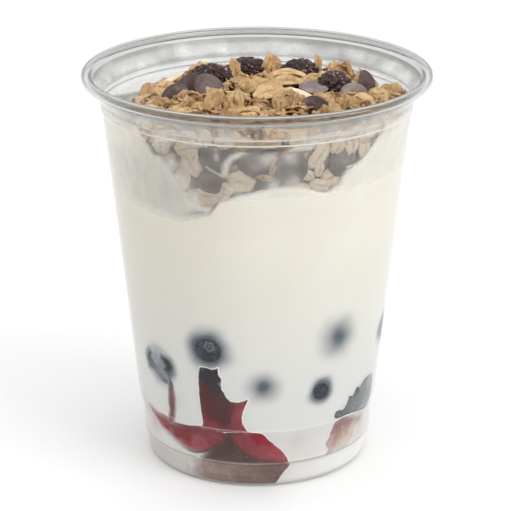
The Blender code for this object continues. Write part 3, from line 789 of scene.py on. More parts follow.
wall_patch(
    "juice_layer",
    ((-14, 18.6), (-18, 15), (-24, 11.4), (-31, 8.6), (-37, 6), (-39, 2.5), (-36, -0.5), (-24, -1.2),
     (-8, -1.2), (6, -1.0), (9.5, 0.6), (13, 4), (17, 7.6), (8, 9), (-1, 10), (-8, 12.5), (-12, 15.5)),
    0.00027, 0.002, dark_juice, "juice", juice_tint, "berry_juice",
    soft=((-38, 4, 6, CREAM), (-38, 0, 6, CREAM), (-33, 7.6, 4, CREAM)))


# ------------------------------------------------------------------------------ smeared yogurt film
# A thin film of yogurt left on the inside of the wall, up to the stacking ridges.  It hides most
# of what lies behind it, and little in a window in front, where the granola touches the wall.
# Its haze is greyed as painted shade on the far wall, round the ridges and on the flare.

FILM_LOW = 0.0790
FILM_HIGH = 0.1108
FILM_THICKNESS = 0.00016
FILM_PROUD = 0.00030
FILM_DEGREE = 0.73             # mm round the film in one degree
RIDGE_HIGHLIGHTS = ((0.10415, 0.00026), (0.10580, 0.00026))   # height and half width of painted highlight lines along the ridges

film_bmesh = bmesh.new()
film_rows = 47
film_line = []
for row in range(film_rows):
    height = FILM_LOW + (NECK_HEIGHT - 0.0008 - FILM_LOW) * row / film_rows
    film_line.append(Vector((wall_radius(height) + FILM_PROUD, height)))
film_line += [point for point in offset_line(inner_line, -FILM_PROUD)
              if NECK_HEIGHT - 0.0006 < point.y < FILM_HIGH and point.x > 0.03]
film_line += offset_line(film_line, FILM_THICKNESS)[::-1]
loop = [film_bmesh.verts.new((point.x, 0, point.y)) for point in film_line]
edges = [film_bmesh.edges.new(pair) for pair in zip(loop, loop[1:] + loop[:1])]
bmesh.ops.spin(film_bmesh, geom=loop + edges, cent=(0, 0, 0), axis=(0, 0, 1), angle=2 * pi,
               steps=300, use_merge=True)
bmesh.ops.remove_doubles(film_bmesh, verts=film_bmesh.verts, dist=0.000002)
bmesh.ops.recalc_face_normals(film_bmesh, faces=film_bmesh.faces)

# Share covered outside the window: angle and share
FILM_COVER = ((-180, 0.80), (-62, 0.80), (-50, 0.62), (-24, 0.55), (-18, 0.75), (45, 0.75), (60, 0.80),
              (180, 0.80))
# Height to which it stands: angle and height
FILM_EDGE = ((-180, 0.1000), (-120, 0.1010), (-85, 0.1064), (-16, 0.1064), (-11, 0.1026), (10, 0.1026),
             (15, 0.1062), (60, 0.1066), (95, 0.1050), (140, 0.1005), (180, 0.1000))
# Height down to which it is seen: angle and height
FILM_FOOT = ((-180, 0.0880), (-75, 0.0875), (-58, 0.0800), (-30, 0.0795), (-20, 0.0830), (-12, 0.0872),
             (0, 0.0880), (40, 0.0886), (180, 0.0880))
HAZE = 0.05                    # share covered by a thin haze over the rest of the wall
RIDGE_HAZE = 0.34              # more of it round the ridges, away from the middle of the front
BACK_HAZE = 0.11               # and on the far wall
FLARE_HAZE = 0.42              # and on the flare under the rim
# Where the granola touches the wall and the film is thin: (angle, height in mm) round the outline
WINDOW = ((-41, 99), (-37, 98.5), (-32.5, 94.5), (-28, 90), (-24.5, 87), (-19, 85.6), (-15, 86.6),
          (-12.5, 88.4), (-6, 89.6), (1, 91), (9, 92), (16, 92), (22, 90.3), (27.5, 88.9), (31.5, 90.6),
          (34.5, 94.9), (39, 95.3), (44, 98), (48, 101), (52, 104), (48, 111), (30, 113), (0, 113),
          (-30, 113), (-48, 110), (-46, 104))
THIN_COVER = 0.07              # share covered in that window
# Hazy places in that window: angle, height in mm, reach in mm and share covered
HAZES = ((20, 105.8, 3.0, 0.45), (30, 105.5, 2.5, 0.35), (-22, 105.8, 2.6, 0.30), (-34, 106, 3.5, 0.40),
         (44, 106, 3, 0.4), (-3, 104.5, 2.0, 0.18), (-8, 91.5, 2.2, 0.22), (6, 93, 2.4, 0.30),
         (13, 93.5, 2.2, 0.28), (-28, 92, 2.6, 0.40), (-33, 97, 2.8, 0.38), (-24, 88, 2.4, 0.36),
         (4, 101, 2.4, 0.28), (12, 101, 2.2, 0.30), (40, 103.5, 2.5, 0.22), (-37, 104, 3, 0.25))
# Smears where the film is thicker: runs of (angle, height in mm), half width in mm, share covered
SMEARS = (
    (((-11.5, 96), (-11, 98.5), (-9, 100.8), (-5, 102.4), (1, 103.2), (9, 103.3), (19, 103.2)), 0.75, 0.62),
    (((-18, 97.6), (-14, 96), (-10.8, 95)), 0.25, 0.40),
    (((-16, 105), (-14, 102.5), (-14.5, 100)), 0.25, 0.35),
    (((34, 96), (41, 96.4), (45.5, 99.4), (50, 103)), 0.30, 0.5),
)

window_outline = smooth_outline(WINDOW)
film_spots = [(angle_at(vert.co.x, vert.co.y), vert.co.z) for vert in film_bmesh.verts]
window_depths = depth_inside(window_outline, *(np.array(column) for column in zip(*film_spots)))
cover_layer = film_bmesh.verts.layers.float.new("cover")
film_shade_layer = film_bmesh.verts.layers.float.new("painted_grey")
for vert, (angle, z), window_depth in zip(film_bmesh.verts, film_spots, window_depths):
    place = vert.co.copy()
    thick = eased(FILM_COVER, angle) + 0.10 * noise.noise(place * 120)
    thin = THIN_COVER + 0.05 * noise.noise(place * 300)
    for spot_angle, spot_height, reach, strength in HAZES:
        away = hypot((angle - spot_angle) * FILM_DEGREE, z * 1000 - spot_height) / reach
        thin += strength * exp(-away * away * 1.6) * (1 + 0.5 * noise.noise(place * 600))
    for run, half_width, strength in SMEARS:
        for (angle_0, high_0), (angle_1, high_1) in zip(run, run[1:]):
            step = Vector(((angle_1 - angle_0) * FILM_DEGREE, high_1 - high_0))
            here = Vector(((angle - angle_0) * FILM_DEGREE, z * 1000 - high_0))
            along = clamped(here.dot(step) / step.length_squared)
            away = (here - step * along).length / half_width
            thin = max(thin, strength * exp(-away * away))
    share = clamped((window_depth * 1000 + 0.5 + 0.5 * noise.noise(place * 400)) / 1.3)
    cover = thick + (thin - thick) * share
    edge_height = eased(FILM_EDGE, angle) + 0.0009 * noise.noise(place * 160)
    foot = eased(FILM_FOOT, angle) + 0.0003 * noise.noise(place * 120)
    foot_fade = clamped((z - foot) / (0.004 if angle < -20 else 0.0022))
    fade = clamped((edge_height - z) / 0.0009) * foot_fade
    haze = HAZE * (1.6 - 0.8 * cos(radians(angle))) * (1 + 0.5 * noise.noise(place * 90))
    above = clamped((z - 0.1046) / 0.0012) * (1 - bell(angle, 2, 11))
    haze += RIDGE_HAZE * above * (1 + 0.9 * noise.noise(place * 210))
    behind = max((0.4 - cos(radians(angle))) / 1.4, 0) * clamped((z - 0.097) / 0.003)
    streak = noise.noise(Vector((angle * 0.05, z * 900, 0)))
    streak += 0.5 * noise.noise(Vector((angle * 0.2, z * 300, 4)))
    haze += BACK_HAZE * behind ** 0.7 * (1 + 1.1 * streak)
    flare = clamped((z - 0.1093) / 0.0009)
    haze += FLARE_HAZE * flare * (1 + 0.5 * streak)
    # Painted shade: the haze is greyed on the far wall, round the ridges and on the flare.
    vert[film_shade_layer] = min(behind * 2.0 + above * 0.5 + flare, 1.0)
    vert[cover_layer] = max(min(cover, 1.0) * fade, haze if z > 0.09 else 0.0)

film_white, tree, shader = node_material("yogurt_film", 0.35, 0.0)
# The film is yogurt white, greyed as painted shade on the far wall, round the ridges and on the flare.
tree.links.new(colour_mix(tree, attribute(tree, "painted_grey"), (0.88, 0.86, 0.80), (0.52, 0.52, 0.515)),
               shader.inputs["Base Color"])
cast_thin_shadow(tree, shader, (1.0, 1.0, 1.0))
wisps = ramp(tree, grain(tree, 260, 4.0, 0.6, (1, 1, 0.5)), (0.25, 0.75), (0.75, 1.0))
cover = worked_out(tree, "MULTIPLY", attribute(tree, "cover"), wisps)
# Painted highlights: lighter lines along the two ridges.
for middle, half_width in RIDGE_HIGHLIGHTS:
    cover = colour_mix(tree, height_band(tree, middle, half_width), cover, (0.62, 0.62, 0.62))
tree.links.new(cover, shader.inputs["Alpha"])
piece("yogurt_film", film_bmesh, film_white, "yogurt")


# ---------------------------------------------------------------------------------------- granola
# A heap of toasted oat granola: a crumbly bed of meal between the yogurt and the top, with rolled
# oat flakes, baked clusters, crumbs and slivers of almond lying on it and pressed to the wall.

GRANOLA_EDGE = ((-180, 0.0975), (-120, 0.0945), (-90, 0.0940), (-64, 0.0965), (-42, 0.1025),
                (0, 0.1040), (60, 0.1045), (100, 0.1020), (150, 0.0985), (180, 0.0975))
GRANOLA_MIDDLE = 0.1060
GRANOLA_SINK = 0.0016          # how far the bed lies under the heap's loose top
BED_INSET = 0.0022             # room for the flakes that lie between the bed and the wall
BED_BRIM = 0.1040              # height at which the bed is turned, before its top is shaped
BED_ROWS = 26                  # up its side
BED_RINGS = 48                 # over its top
BED_STEPS = 200                # round it
SMALL_CLUSTERS = 22            # how many of each are scattered
LEFT_EDGE_FLAKES = 80
HEAP_FLAKES = 430
SCATTERED_WALL_FLAKES = 240
CRUMBS = 1500
STUCK_FLAKES = 12              # on each cluster
OAT_VALUES = ("tone", "groove", "soaked")   # colour, browning with painted shade, and how far an oat is soaked pale

heap_random = random.Random(11)


def heap_top(x, y):
    """Height of the heap's loose top over a place."""
    radius = hypot(x, y)
    share = min(radius / wall_radius(0.104), 1.0)
    edge = eased(GRANOLA_EDGE, angle_at(x, y))
    fall = bell(share, 1, 0.22)
    lumps = sin(x / 0.0031 + 1.3) * cos(y / 0.0037 + 0.4) + 0.5 * sin((x + y) / 0.0052 + 2.0)
    return GRANOLA_MIDDLE + (edge - GRANOLA_MIDDLE) * fall + 0.0011 * lumps * (1 - fall * 0.6)


def over_yogurt(x, y, least=0.0008):
    """Whether the heap stands clear of the yogurt over a place."""
    angle = angle_at(x, y)
    share = min(hypot(x, y) / wall_radius(0.1), 1.0)
    return heap_top(x, y) > yogurt_top(angle, eased(YOGURT_EDGE, angle), share) + least


bed_low = YOGURT_EDGE[3][1] - 0.002
bed_line = [Vector((0, bed_low))]
for row in range(BED_ROWS + 1):
    height = bed_low + (BED_BRIM - bed_low) * row / BED_ROWS
    bed_line.append(Vector((wall_radius(height) - BED_INSET, height)))
bed_rim = bed_line[-1].x
bed_line += [Vector((bed_rim * (1 - step / BED_RINGS), BED_BRIM)) for step in range(1, BED_RINGS + 1)]
bed_bmesh = turned(bed_line, BED_STEPS)
soaked_layer = bed_bmesh.verts.layers.float.new("soaked")
for vert in bed_bmesh.verts:
    x, y, z = vert.co
    angle = angle_at(x, y)
    rough = noise.noise(vert.co * 420) + 0.5 * noise.noise(vert.co * 900)
    if z > BED_BRIM - 0.00001:
        share = hypot(x, y) / bed_rim
        height = heap_top(x, y) - GRANOLA_SINK + 0.0007 * rough
        height -= 0.0010 * clamped((share - 0.9) / 0.1)
        vert.co = place_at(angle, share * (wall_radius(height) - BED_INSET), height)
    elif hypot(x, y) > 0.030:
        wall_place = place_at(angle, bed_rim, 0)
        brim = heap_top(wall_place.x, wall_place.y) - GRANOLA_SINK - 0.0010
        z = bed_low + (z - bed_low) * (brim - bed_low) / (BED_BRIM - bed_low)
        vert.co = place_at(angle, (wall_radius(z) - BED_INSET) * (1 - 0.016 * max(rough, 0)), z)
    vert[soaked_layer] = clamped((0.1030 - vert.co.z) / 0.004) if hypot(x, y) > 0.035 else 0.0

toasted_oats, tree, shader = node_material("toasted_oats", 0.5)
toast = colour_mix(tree, attribute(tree, "tone"), (0.38, 0.160, 0.042), (1.0, 0.70, 0.34))
fibres = ramp(tree, grain(tree, 800, 5.0, 0.7), (0.3, 0.0), (0.72, 1.0))
spots = ramp(tree, grain(tree, 420, 3.0, 0.6), (0.40, 0.0), (0.60, 1.0))
toast = colour_mix(tree, spots, colour_mix(tree, 1.0, toast, (0.74, 0.61, 0.48), "MULTIPLY"), toast)
toast = colour_mix(tree, worked_out(tree, "MULTIPLY", fibres, 0.5), toast, (1.0, 0.78, 0.46))
soaked = worked_out(tree, "MULTIPLY", attribute(tree, "soaked"), 0.75)
toast = colour_mix(tree, soaked, toast, (0.95, 0.845, 0.72))
# Darker by browning at the edges and by painted shade in the grooves and deep in the heap.
browned_and_shaded = colour_mix(tree, 1.0, toast, (0.27, 0.165, 0.085), "MULTIPLY")
browning_and_shade = ramp(tree, attribute(tree, "groove"), (0.0, 0.0), (1.0, 1.0))
tree.links.new(colour_mix(tree, browning_and_shade, toast, browned_and_shaded), shader.inputs["Base Color"])
bump(tree, shader, fibres, 1.0, 0.0005)

oat_meal, tree, shader = node_material("oat_meal", 0.7)
# The meal's dark browns are partly its toasted colour and partly painted shade of the gaps between the
# oats.
crumbs = ramp(tree, grain(tree, 520, 5.0, 0.7), (0.36, 0.0), (0.66, 1.0))
meal = colour_mix(tree, crumbs, (0.07, 0.030, 0.012), (0.36, 0.19, 0.075))
pale = colour_mix(tree, ramp(tree, grain(tree, 230, 3.0), (0.35, 0.0), (0.65, 1.0)),
                  (0.075, 0.058, 0.055), (0.27, 0.215, 0.190))
tree.links.new(colour_mix(tree, attribute(tree, "soaked"), meal, pale), shader.inputs["Base Color"])
bump(tree, shader, crumbs, 0.8, 0.0006)
piece("granola_bed", bed_bmesh, oat_meal, "toasted_oats", "granola")


def oats_bmesh():
    """An empty bmesh with the values that the oats' material reads."""
    bm = bmesh.new()
    for name in OAT_VALUES:
        bm.verts.layers.float.new(name)
    return bm


def blank(make, **sizes):
    """A mesh of one operator's shape, to be bent into flakes, lumps or crumbs."""
    bm = oats_bmesh()
    make(bm, radius=1.0, **sizes)
    return mesh_of(bm, "blank")


flake_blank = blank(bmesh.ops.create_uvsphere, u_segments=18, v_segments=9)
lump_blank = blank(bmesh.ops.create_icosphere, subdivisions=3)
crumb_blank = blank(bmesh.ops.create_icosphere, subdivisions=1)


def add_blank(bm, mesh):
    """Add a blank to a bmesh and give back its vertices."""
    before = len(bm.verts)
    bm.from_mesh(mesh)
    bm.verts.ensure_lookup_table()
    return bm.verts[before:]


def oat_flake(bm, centre, normal, length, width, thickness, turn, tone, bend, soaked=0.0):
    """One rolled oat: a thin oval with a lengthwise groove, a ragged edge and a slight curl."""
    made = add_blank(bm, flake_blank)
    tone_layer, groove_layer, soaked_layer = (bm.verts.layers.float[name] for name in OAT_VALUES)
    if normal.z > 0.3:
        up_turn = Vector((0, 0, 1)).rotation_difference(normal).to_matrix()
    else:
        level = Vector((-normal.y, normal.x, 0)).normalized()
        up_turn = Matrix((level, normal.cross(level), normal)).transposed()
    whole_turn = up_turn @ Matrix.Rotation(turn, 3, "Z")
    seed = centre * 900
    for vert in made:
        x, y, z = vert.co
        here = seed + Vector((x, y, 0)) * 1.8
        ragged = 1 + 0.14 * noise.noise(here) + 0.07 * noise.noise(here * 2.7)
        groove = bell(y, -0.12 * x * x, 0.13) * (1 - x * x * 0.8)
        side = 1 if z > 0 else -1
        flat_z = z * thickness - side * groove * thickness * 0.6
        ruffle = noise.noise(here * 1.3 + Vector((7, 0, 0))) * 0.10 + noise.noise(here * 3.1) * 0.035
        flat_z += width * ruffle * (x * x + y * y)
        flat_z += bend[0] * length * x * x + bend[1] * width * y * y + 0.4 * bend[0] * width * x * y
        local = Vector((x * length * 0.5 * ragged, y * width * 0.5 * ragged, flat_z))
        vert.co = centre + whole_turn @ local
        vert[tone_layer] = tone
        # Painted shade in the groove, browning at the ragged edge.
        vert[groove_layer] = 0.55 * groove if abs(z) > 0.4 else 0.0
        if hypot(x, y) > 0.93:
            vert[groove_layer] += 0.25
        vert[soaked_layer] = soaked


def random_tilt(spread):
    """A way up that leans by up to about the spread."""
    lean, turn = heap_random.uniform(0, spread), heap_random.uniform(0, 2 * pi)
    return Vector((sin(lean) * cos(turn), sin(lean) * sin(turn), cos(lean)))


def oat_cluster(bm, centre, size, tone):
    """Baked lump: a knobbly core with flakes stuck on all round."""
    made = add_blank(bm, lump_blank)
    for vert in made:
        way = vert.co.normalized()
        lump = 1 + 0.30 * noise.noise(way * 2.1 + centre * 900)
        lump += 0.16 * noise.noise(way * 5 + centre * 700)
        vert.co = centre + Vector((way.x, way.y, way.z * 0.75)) * size * 0.42 * lump
        vert[bm.verts.layers.float["tone"]] = tone * 0.7
        vert[bm.verts.layers.float["groove"]] = 0.25
    for _ in range(STUCK_FLAKES):
        way = random_tilt(1.75)
        spot = centre + Vector((way.x, way.y, way.z * 0.8)) * size * heap_random.uniform(0.34, 0.50)
        lean = (way + random_tilt(3.1) * 0.5).normalized()
        oat_flake(bm, spot, lean, size * heap_random.uniform(0.48, 0.78),
                  size * heap_random.uniform(0.30, 0.48), 0.00045, heap_random.uniform(0, pi),
                  clamped(tone + heap_random.uniform(-0.25, 0.25)),
                  (heap_random.uniform(-0.3, 0.1), heap_random.uniform(-0.3, 0.1)))


def shade_crevices(bm):
    """Paint shade on the oats where they lie deep between the others."""
    groove_layer = bm.verts.layers.float["groove"]
    for vert in bm.verts:
        deep = clamped((heap_top(vert.co.x, vert.co.y) + 0.0006 - vert.co.z) / 0.0022)
        vert[groove_layer] = min(vert[groove_layer] + 0.9 * deep ** 0.8, 1.0)


def over_heap(x, y, lift):
    """The point over the heap's loose top at a place, all in mm."""
    return Vector((x / 1000, y / 1000, heap_top(x / 1000, y / 1000) + lift / 1000))


def random_place(reach):
    """A random x and y of the heap, within a reach from the axis."""
    distance, turn = reach * sqrt(heap_random.random()), heap_random.uniform(0, 2 * pi)
    return distance * cos(turn), distance * sin(turn)


# Clusters that stand out on the heap: x, y in mm, size in mm, tone
CLUSTERS = (
    (-17.5, -10.5, 8, 0.55), (-12, -12, 9, 0.6), (-6, -11, 8, 0.7), (-9, -5, 6, 0.8), (1, -13, 7, 0.45),
    (8, -14.5, 6.5, 0.5), (24, 21.5, 10.5, 0.6), (30, 18.5, 9.5, 0.55), (25.5, -10.5, 7.5, 0.7),
    (37.5, 5, 8, 0.5), (-22, -13, 6, 0.5), (-2, -1, 6, 0.8), (20, -13, 6, 0.6), (-16, 26, 7, 0.7),
)
cluster_bmesh = oats_bmesh()
for x, y, size, tone in CLUSTERS:
    oat_cluster(cluster_bmesh, over_heap(x, y, 0.6), size / 1000, tone)
for _ in range(SMALL_CLUSTERS):
    x, y = random_place(0.036)
    if not over_yogurt(x, y, 0.003):
        continue
    size = heap_random.uniform(0.0045, 0.0068)
    spot = inside_wall(Vector((x, y, heap_top(x, y) - 0.0006)), size * 0.75)
    oat_cluster(cluster_bmesh, spot, size, heap_random.uniform(0.2, 0.9))
shade_crevices(cluster_bmesh)
piece("granola_clusters", cluster_bmesh, toasted_oats, "toasted_oats")

# Flakes that stand out: x, y in mm, lift in mm, way up, length and width in mm, turn, tone
FLAKES = (
    (3, 21.5, 2.0, (0.45, -0.85, 0.2), 8.4, 4.6, 1.0, 0.85),
    (5.8, 21, 2.0, (-0.4, -0.85, 0.25), 8.4, 4.6, 2.1, 0.75),
    (-6.3, 16, 2.4, (0.62, -0.7, 0.2), 9.5, 5, 1.45, 0.75),
    (-14.8, 22, 1.8, (0.1, -0.55, 0.8), 12, 5.5, 0.1, 0.9),
    (-26, 6.5, 0.8, (-0.1, -0.5, 0.85), 9, 6, 0.15, 0.8),
    (-26.4, 1.0, 0.8, (0.5, -0.5, 0.7), 8, 4.5, 2.5, 0.95),
    (-19.5, -7.5, 1.0, (0.3, -0.75, 0.55), 7, 6, 0.6, 0.7),
    (0.6, 8, 1.8, (-0.1, -0.45, 0.9), 8.5, 7, 0.3, 0.85),
    (3.4, -6.5, 2.0, (0.0, -0.55, 0.85), 11.5, 7.5, 0.25, 0.95),
    (8.5, 7, 2.0, (0.0, -0.35, 0.95), 12, 6.5, -0.05, 0.7),
    (9.0, 11, 2.6, (0.05, -0.15, 1.0), 12, 5.5, 0.0, 0.95),
    (7, -9.5, 1.6, (-0.2, -0.7, 0.7), 9, 4.5, 0.55, 0.85),
    (28.6, 4.5, 2.0, (-0.6, -0.45, 0.6), 9.5, 5.0, 2.15, 0.9),
    (26.5, 1.5, 1.6, (-0.5, -0.5, 0.7), 8.5, 4.5, 2.2, 0.85),
    (36, 3, 1.9, (-0.25, -0.85, 0.4), 7, 5, 0.9, 0.35),
    (39, 6, 2.4, (0.1, -0.85, 0.4), 8, 5.5, 1.6, 0.55), (34, 1, 1.2, (0.1, -0.7, 0.7), 8, 5, 0.1, 0.9),
    (18, -7.5, 1.2, (0.1, -0.6, 0.8), 8, 5.5, 0.1, 0.6),
    (29, -9, 1.2, (0.0, -0.5, 0.85), 9, 5.5, -0.3, 0.95),
    (22, 20, 2.2, (0.6, -0.7, 0.3), 8, 5, 1.3, 0.8),
    (17.5, 21, 2.6, (0.8, -0.6, 0.1), 8, 4.5, 1.5, 0.85),
)
flake_bmesh = oats_bmesh()
for x, y, lift, way, length, width, turn, tone in FLAKES:
    oat_flake(flake_bmesh, over_heap(x, y, lift), Vector(way).normalized(), length / 1150, width / 1250,
              0.0005, turn, tone, (-0.08, 0.12))
for _ in range(LEFT_EDGE_FLAKES):        # where the granola runs out to the wall on the left
    angle, share = heap_random.uniform(-125, -52), heap_random.uniform(0.68, 0.95)
    edge = eased(YOGURT_EDGE, angle)
    level = place_at(angle, share * wall_radius(edge), 0)
    level.z = max(heap_top(level.x, level.y), yogurt_top(angle, edge, share)) + 0.0004
    length = heap_random.uniform(0.0045, 0.0075)
    oat_flake(flake_bmesh, inside_wall(level, length * 0.5), random_tilt(0.6), length, length * 0.62,
              0.0004, heap_random.uniform(0, pi), heap_random.uniform(0.5, 1.0), (-0.1, 0.1), 0.3)
for _ in range(HEAP_FLAKES):
    x, y = random_place(0.0400)
    length = heap_random.uniform(0.0045, 0.0078)
    lift = heap_random.uniform(-0.0014, 0.0007)
    if not over_yogurt(x, y):
        continue
    spot = inside_wall(Vector((x, y, heap_top(x, y) + lift)), length * 0.55)
    oat_flake(flake_bmesh, spot, random_tilt(1.0), length, length * heap_random.uniform(0.58, 0.8),
              heap_random.uniform(0.0003, 0.0005), heap_random.uniform(0, pi), heap_random.random(),
              (heap_random.uniform(-0.15, 0.1), heap_random.uniform(-0.12, 0.15)))
shade_crevices(flake_bmesh)
piece("oat_flakes", flake_bmesh, toasted_oats, "toasted_oats")

# Flakes lying flat to the wall: angle, height in mm, length and width in mm, turn in degrees, tone
WALL_FLAKES = (
    (-24.8, 97.8, 8, 6.2, -55, 0.8), (-26.5, 102, 7.5, 5, 20, 0.7), (-23, 100, 5.5, 3.5, 60, 0.8),
    (-37, 102, 7, 5.5, 80, 0.45), (-34, 104.8, 7.5, 4, 10, 0.6), (-18.3, 89.3, 8.5, 5.2, 5, 0.8),
    (-25.5, 87.5, 6.5, 5, 40, 0.6), (-5.8, 93.9, 7.4, 6.2, -10, 1.0), (-12, 91.8, 5, 3.5, -30, 0.5),
    (-29, 93, 7, 5, 70, 0.6), (-21, 86.2, 6, 3.5, 10, 0.5), (-13, 89.3, 5, 3, 35, 0.6),
    (23.1, 100.3, 9.8, 4.6, 52, 0.95), (30.4, 102.2, 5.5, 4.6, 60, 0.95), (37, 101.5, 6.2, 4.6, 85, 0.9),
    (43.2, 99.6, 5, 4.2, 80, 0.95), (28.6, 93.7, 6.6, 5.4, 15, 1.0), (24, 91.8, 6.5, 3.5, -20, 0.95),
    (18.8, 95.2, 5, 3, -25, 0.9), (23.4, 96.6, 5, 2.8, 80, 0.85), (33, 95.3, 3.6, 3, 100, 1.0),
    (37.3, 104.9, 8, 4, 10, 0.7), (46.5, 104.6, 8, 3.6, 10, 0.6), (29.5, 105, 6.5, 4, -5, 0.85),
    (22.5, 105.2, 5, 3, 5, 0.85), (15, 105, 5.5, 3.2, 0, 0.5), (-5, 105, 6, 3.4, -5, 0.3),
    (4.5, 104.8, 6, 3.4, 8, 0.25), (-12, 104.6, 6.5, 3.6, 5, 0.55), (-19, 105, 6, 4, 80, 0.8),
    (-26, 105.3, 7, 4, 10, 0.75), (5.8, 97.6, 4.6, 2.0, 75, 0.1), (3.2, 95.0, 6.0, 1.8, -10, 0.15),
    (16.5, 91.8, 6, 2.6, -8, 0.4),
)
wall_bmesh = oats_bmesh()
for angle, height, length, width, turn, tone in WALL_FLAKES:
    spot = place_at(angle, wall_radius(height / 1000) - 0.00045, height / 1000)
    oat_flake(wall_bmesh, spot, outward(spot), length / 1000, width / 1000, 0.00032, radians(turn), tone,
              (-0.16, -0.10), 0.75 if tone > 0.3 else 0.1)
for index in range(SCATTERED_WALL_FLAKES):
    angle = heap_random.uniform(-45, 50) if index % 2 else heap_random.uniform(-180, 180)
    low, high = eased(YOGURT_EDGE, angle) + 0.001, eased(GRANOLA_EDGE, angle) + 0.0005
    if high - low < 0.001:
        continue
    height = heap_random.uniform(low, high)
    length = heap_random.uniform(0.0040, 0.0065)
    front = abs(angle) < 52
    if front and index % 3:
        continue
    spot = place_at(angle, wall_radius(height) - 0.0016 - heap_random.uniform(0, 0.0012), height)
    way = (outward(spot) + random_tilt(3.1) * 0.45).normalized()
    oat_flake(wall_bmesh, spot, way, length, length * heap_random.uniform(0.55, 0.8), 0.0004,
              heap_random.uniform(0, pi), heap_random.random() * (0.35 if front else 1.0), (-0.1, -0.05),
              heap_random.uniform(0.0, 0.25 if front else 0.8))
for vert in wall_bmesh.verts:
    vert.co = inside_wall(vert.co, 0.00012)
piece("oat_flakes_at_wall", wall_bmesh, toasted_oats, "toasted_oats")

crumb_bmesh = oats_bmesh()
for _ in range(CRUMBS):
    x, y = random_place(0.0405)
    if not over_yogurt(x, y, 0.0):
        continue
    size = heap_random.uniform(0.0004, 0.0011)
    spot = inside_wall(Vector((x, y, heap_top(x, y) + heap_random.uniform(-0.0012, 0.0006))), 0.0015)
    tone = heap_random.random()
    made = add_blank(crumb_bmesh, crumb_blank)
    lean = random_tilt(3.1)
    for vert in made:
        vert.co = spot + (vert.co + lean * vert.co.dot(lean) * 0.6) * size
        vert[crumb_bmesh.verts.layers.float["tone"]] = tone
piece("oat_crumbs", crumb_bmesh, toasted_oats, "toasted_oats")
for mesh in (flake_blank, lump_blank, crumb_blank):
    bpy.data.meshes.remove(mesh)

# Slivers of almond: x, y in mm, way along, length and width in mm
SLIVERS = ((13.4, -10.5, (0.80, -0.55, -0.28), 9.5, 4.0), (-24, 12, (0.6, 0.7, 0.2), 9, 3.2),
           (28, -20, (0.8, 0.5, 0.1), 8, 3), (-6, 31, (0.9, -0.2, 0.1), 8, 3))
SLIVER_HALF = 0.0005           # half the thickness of a sliver
almond, tree, shader = node_material("blanched_almond", 0.45)
streaks = ramp(tree, grain(tree, 300, 3.0, 0.6, (1, 1, 3)), (0.3, 0.0), (0.7, 1.0))
tree.links.new(colour_mix(tree, streaks, (0.72, 0.56, 0.36), (0.86, 0.76, 0.58)),
               shader.inputs["Base Color"])
bump(tree, shader, streaks, 0.2, 0.0002)
sliver_bmesh = bmesh.new()
for x, y, along, length, width in SLIVERS:
    lean = Vector((1, 0, 0)).rotation_difference(Vector(along).normalized())
    half_sizes = Vector((length / 2000, width / 2000, SLIVER_HALF))
    flattened = Matrix.LocRotScale(over_heap(x, y, 2.0), lean, half_sizes)
    bmesh.ops.create_uvsphere(sliver_bmesh, u_segments=12, v_segments=8, radius=1.0,
                              matrix=flattened @ Matrix.Rotation(pi / 2, 4, "Y"))
piece("almond_slivers", sliver_bmesh, almond, "toasted_oats")


# ---------------------------------------------------------------------------------- chocolate drops
# Dark chocolate drops: low moulded domes with a flat foot and a dull bloom.  Some lie on the heap,
# others are pressed to the wall within it.

# On the heap: x, y in mm, lift in mm, the way the dome faces, radius in mm, share of bloom
DROPS_ON_TOP = (
    (-19.0, 2.4, 1.6, (-0.45, -0.6, 0.65), 4.4, 0.15), (-13.5, 1.2, 2.3, (0.30, -0.55, 0.75), 4.5, 0.4),
    (15.8, -1.0, 2.9, (-0.05, 0.16, -1.0), 4.2, 1.0), (30.6, 4.6, 1.8, (0.85, -0.45, 0.25), 4.4, 0.2),
    (26.9, -6.0, 2.4, (-0.1, 0.55, -0.8), 4.0, 0.8), (15.8, -15.0, 0.9, (0.1, -0.35, 0.9), 4.0, 0.1),
    (-22.7, -4.0, 0.9, (-0.3, -0.6, 0.75), 4.0, 0.2),
)
# At the wall: angle, height in mm, radius in mm and whether the flat foot faces out
DROPS_AT_WALL = ((-15, 100.7, 4.9, True), (-17.3, 93.3, 4.7, False), (-1.2, 99.2, 4.6, False),
                 (12.5, 97.5, 4.6, True), (32.5, 97.6, 4.2, True))

dark_chocolate, tree, shader = node_material("dark_chocolate", 0.65, 0.2)
bloom = ramp(tree, grain(tree, 240, 4.0, 0.6), (0.35, 0.0), (0.75, 1.0))
cocoa = colour_mix(tree, bloom, (0.030, 0.011, 0.008), (0.072, 0.034, 0.029))
patches = ramp(tree, grain(tree, 110, 3.0, 0.6), (0.50, 0.0), (0.68, 1.0))
cocoa = colour_mix(tree, worked_out(tree, "MULTIPLY", patches, 0.7), cocoa, (0.235, 0.185, 0.190))
pale = colour_mix(tree, bloom, (0.20, 0.155, 0.145), (0.36, 0.30, 0.28))
tree.links.new(colour_mix(tree, attribute(tree, "bloom"), cocoa, pale), shader.inputs["Base Color"])
bump(tree, shader, bloom, 0.5, 0.0004)


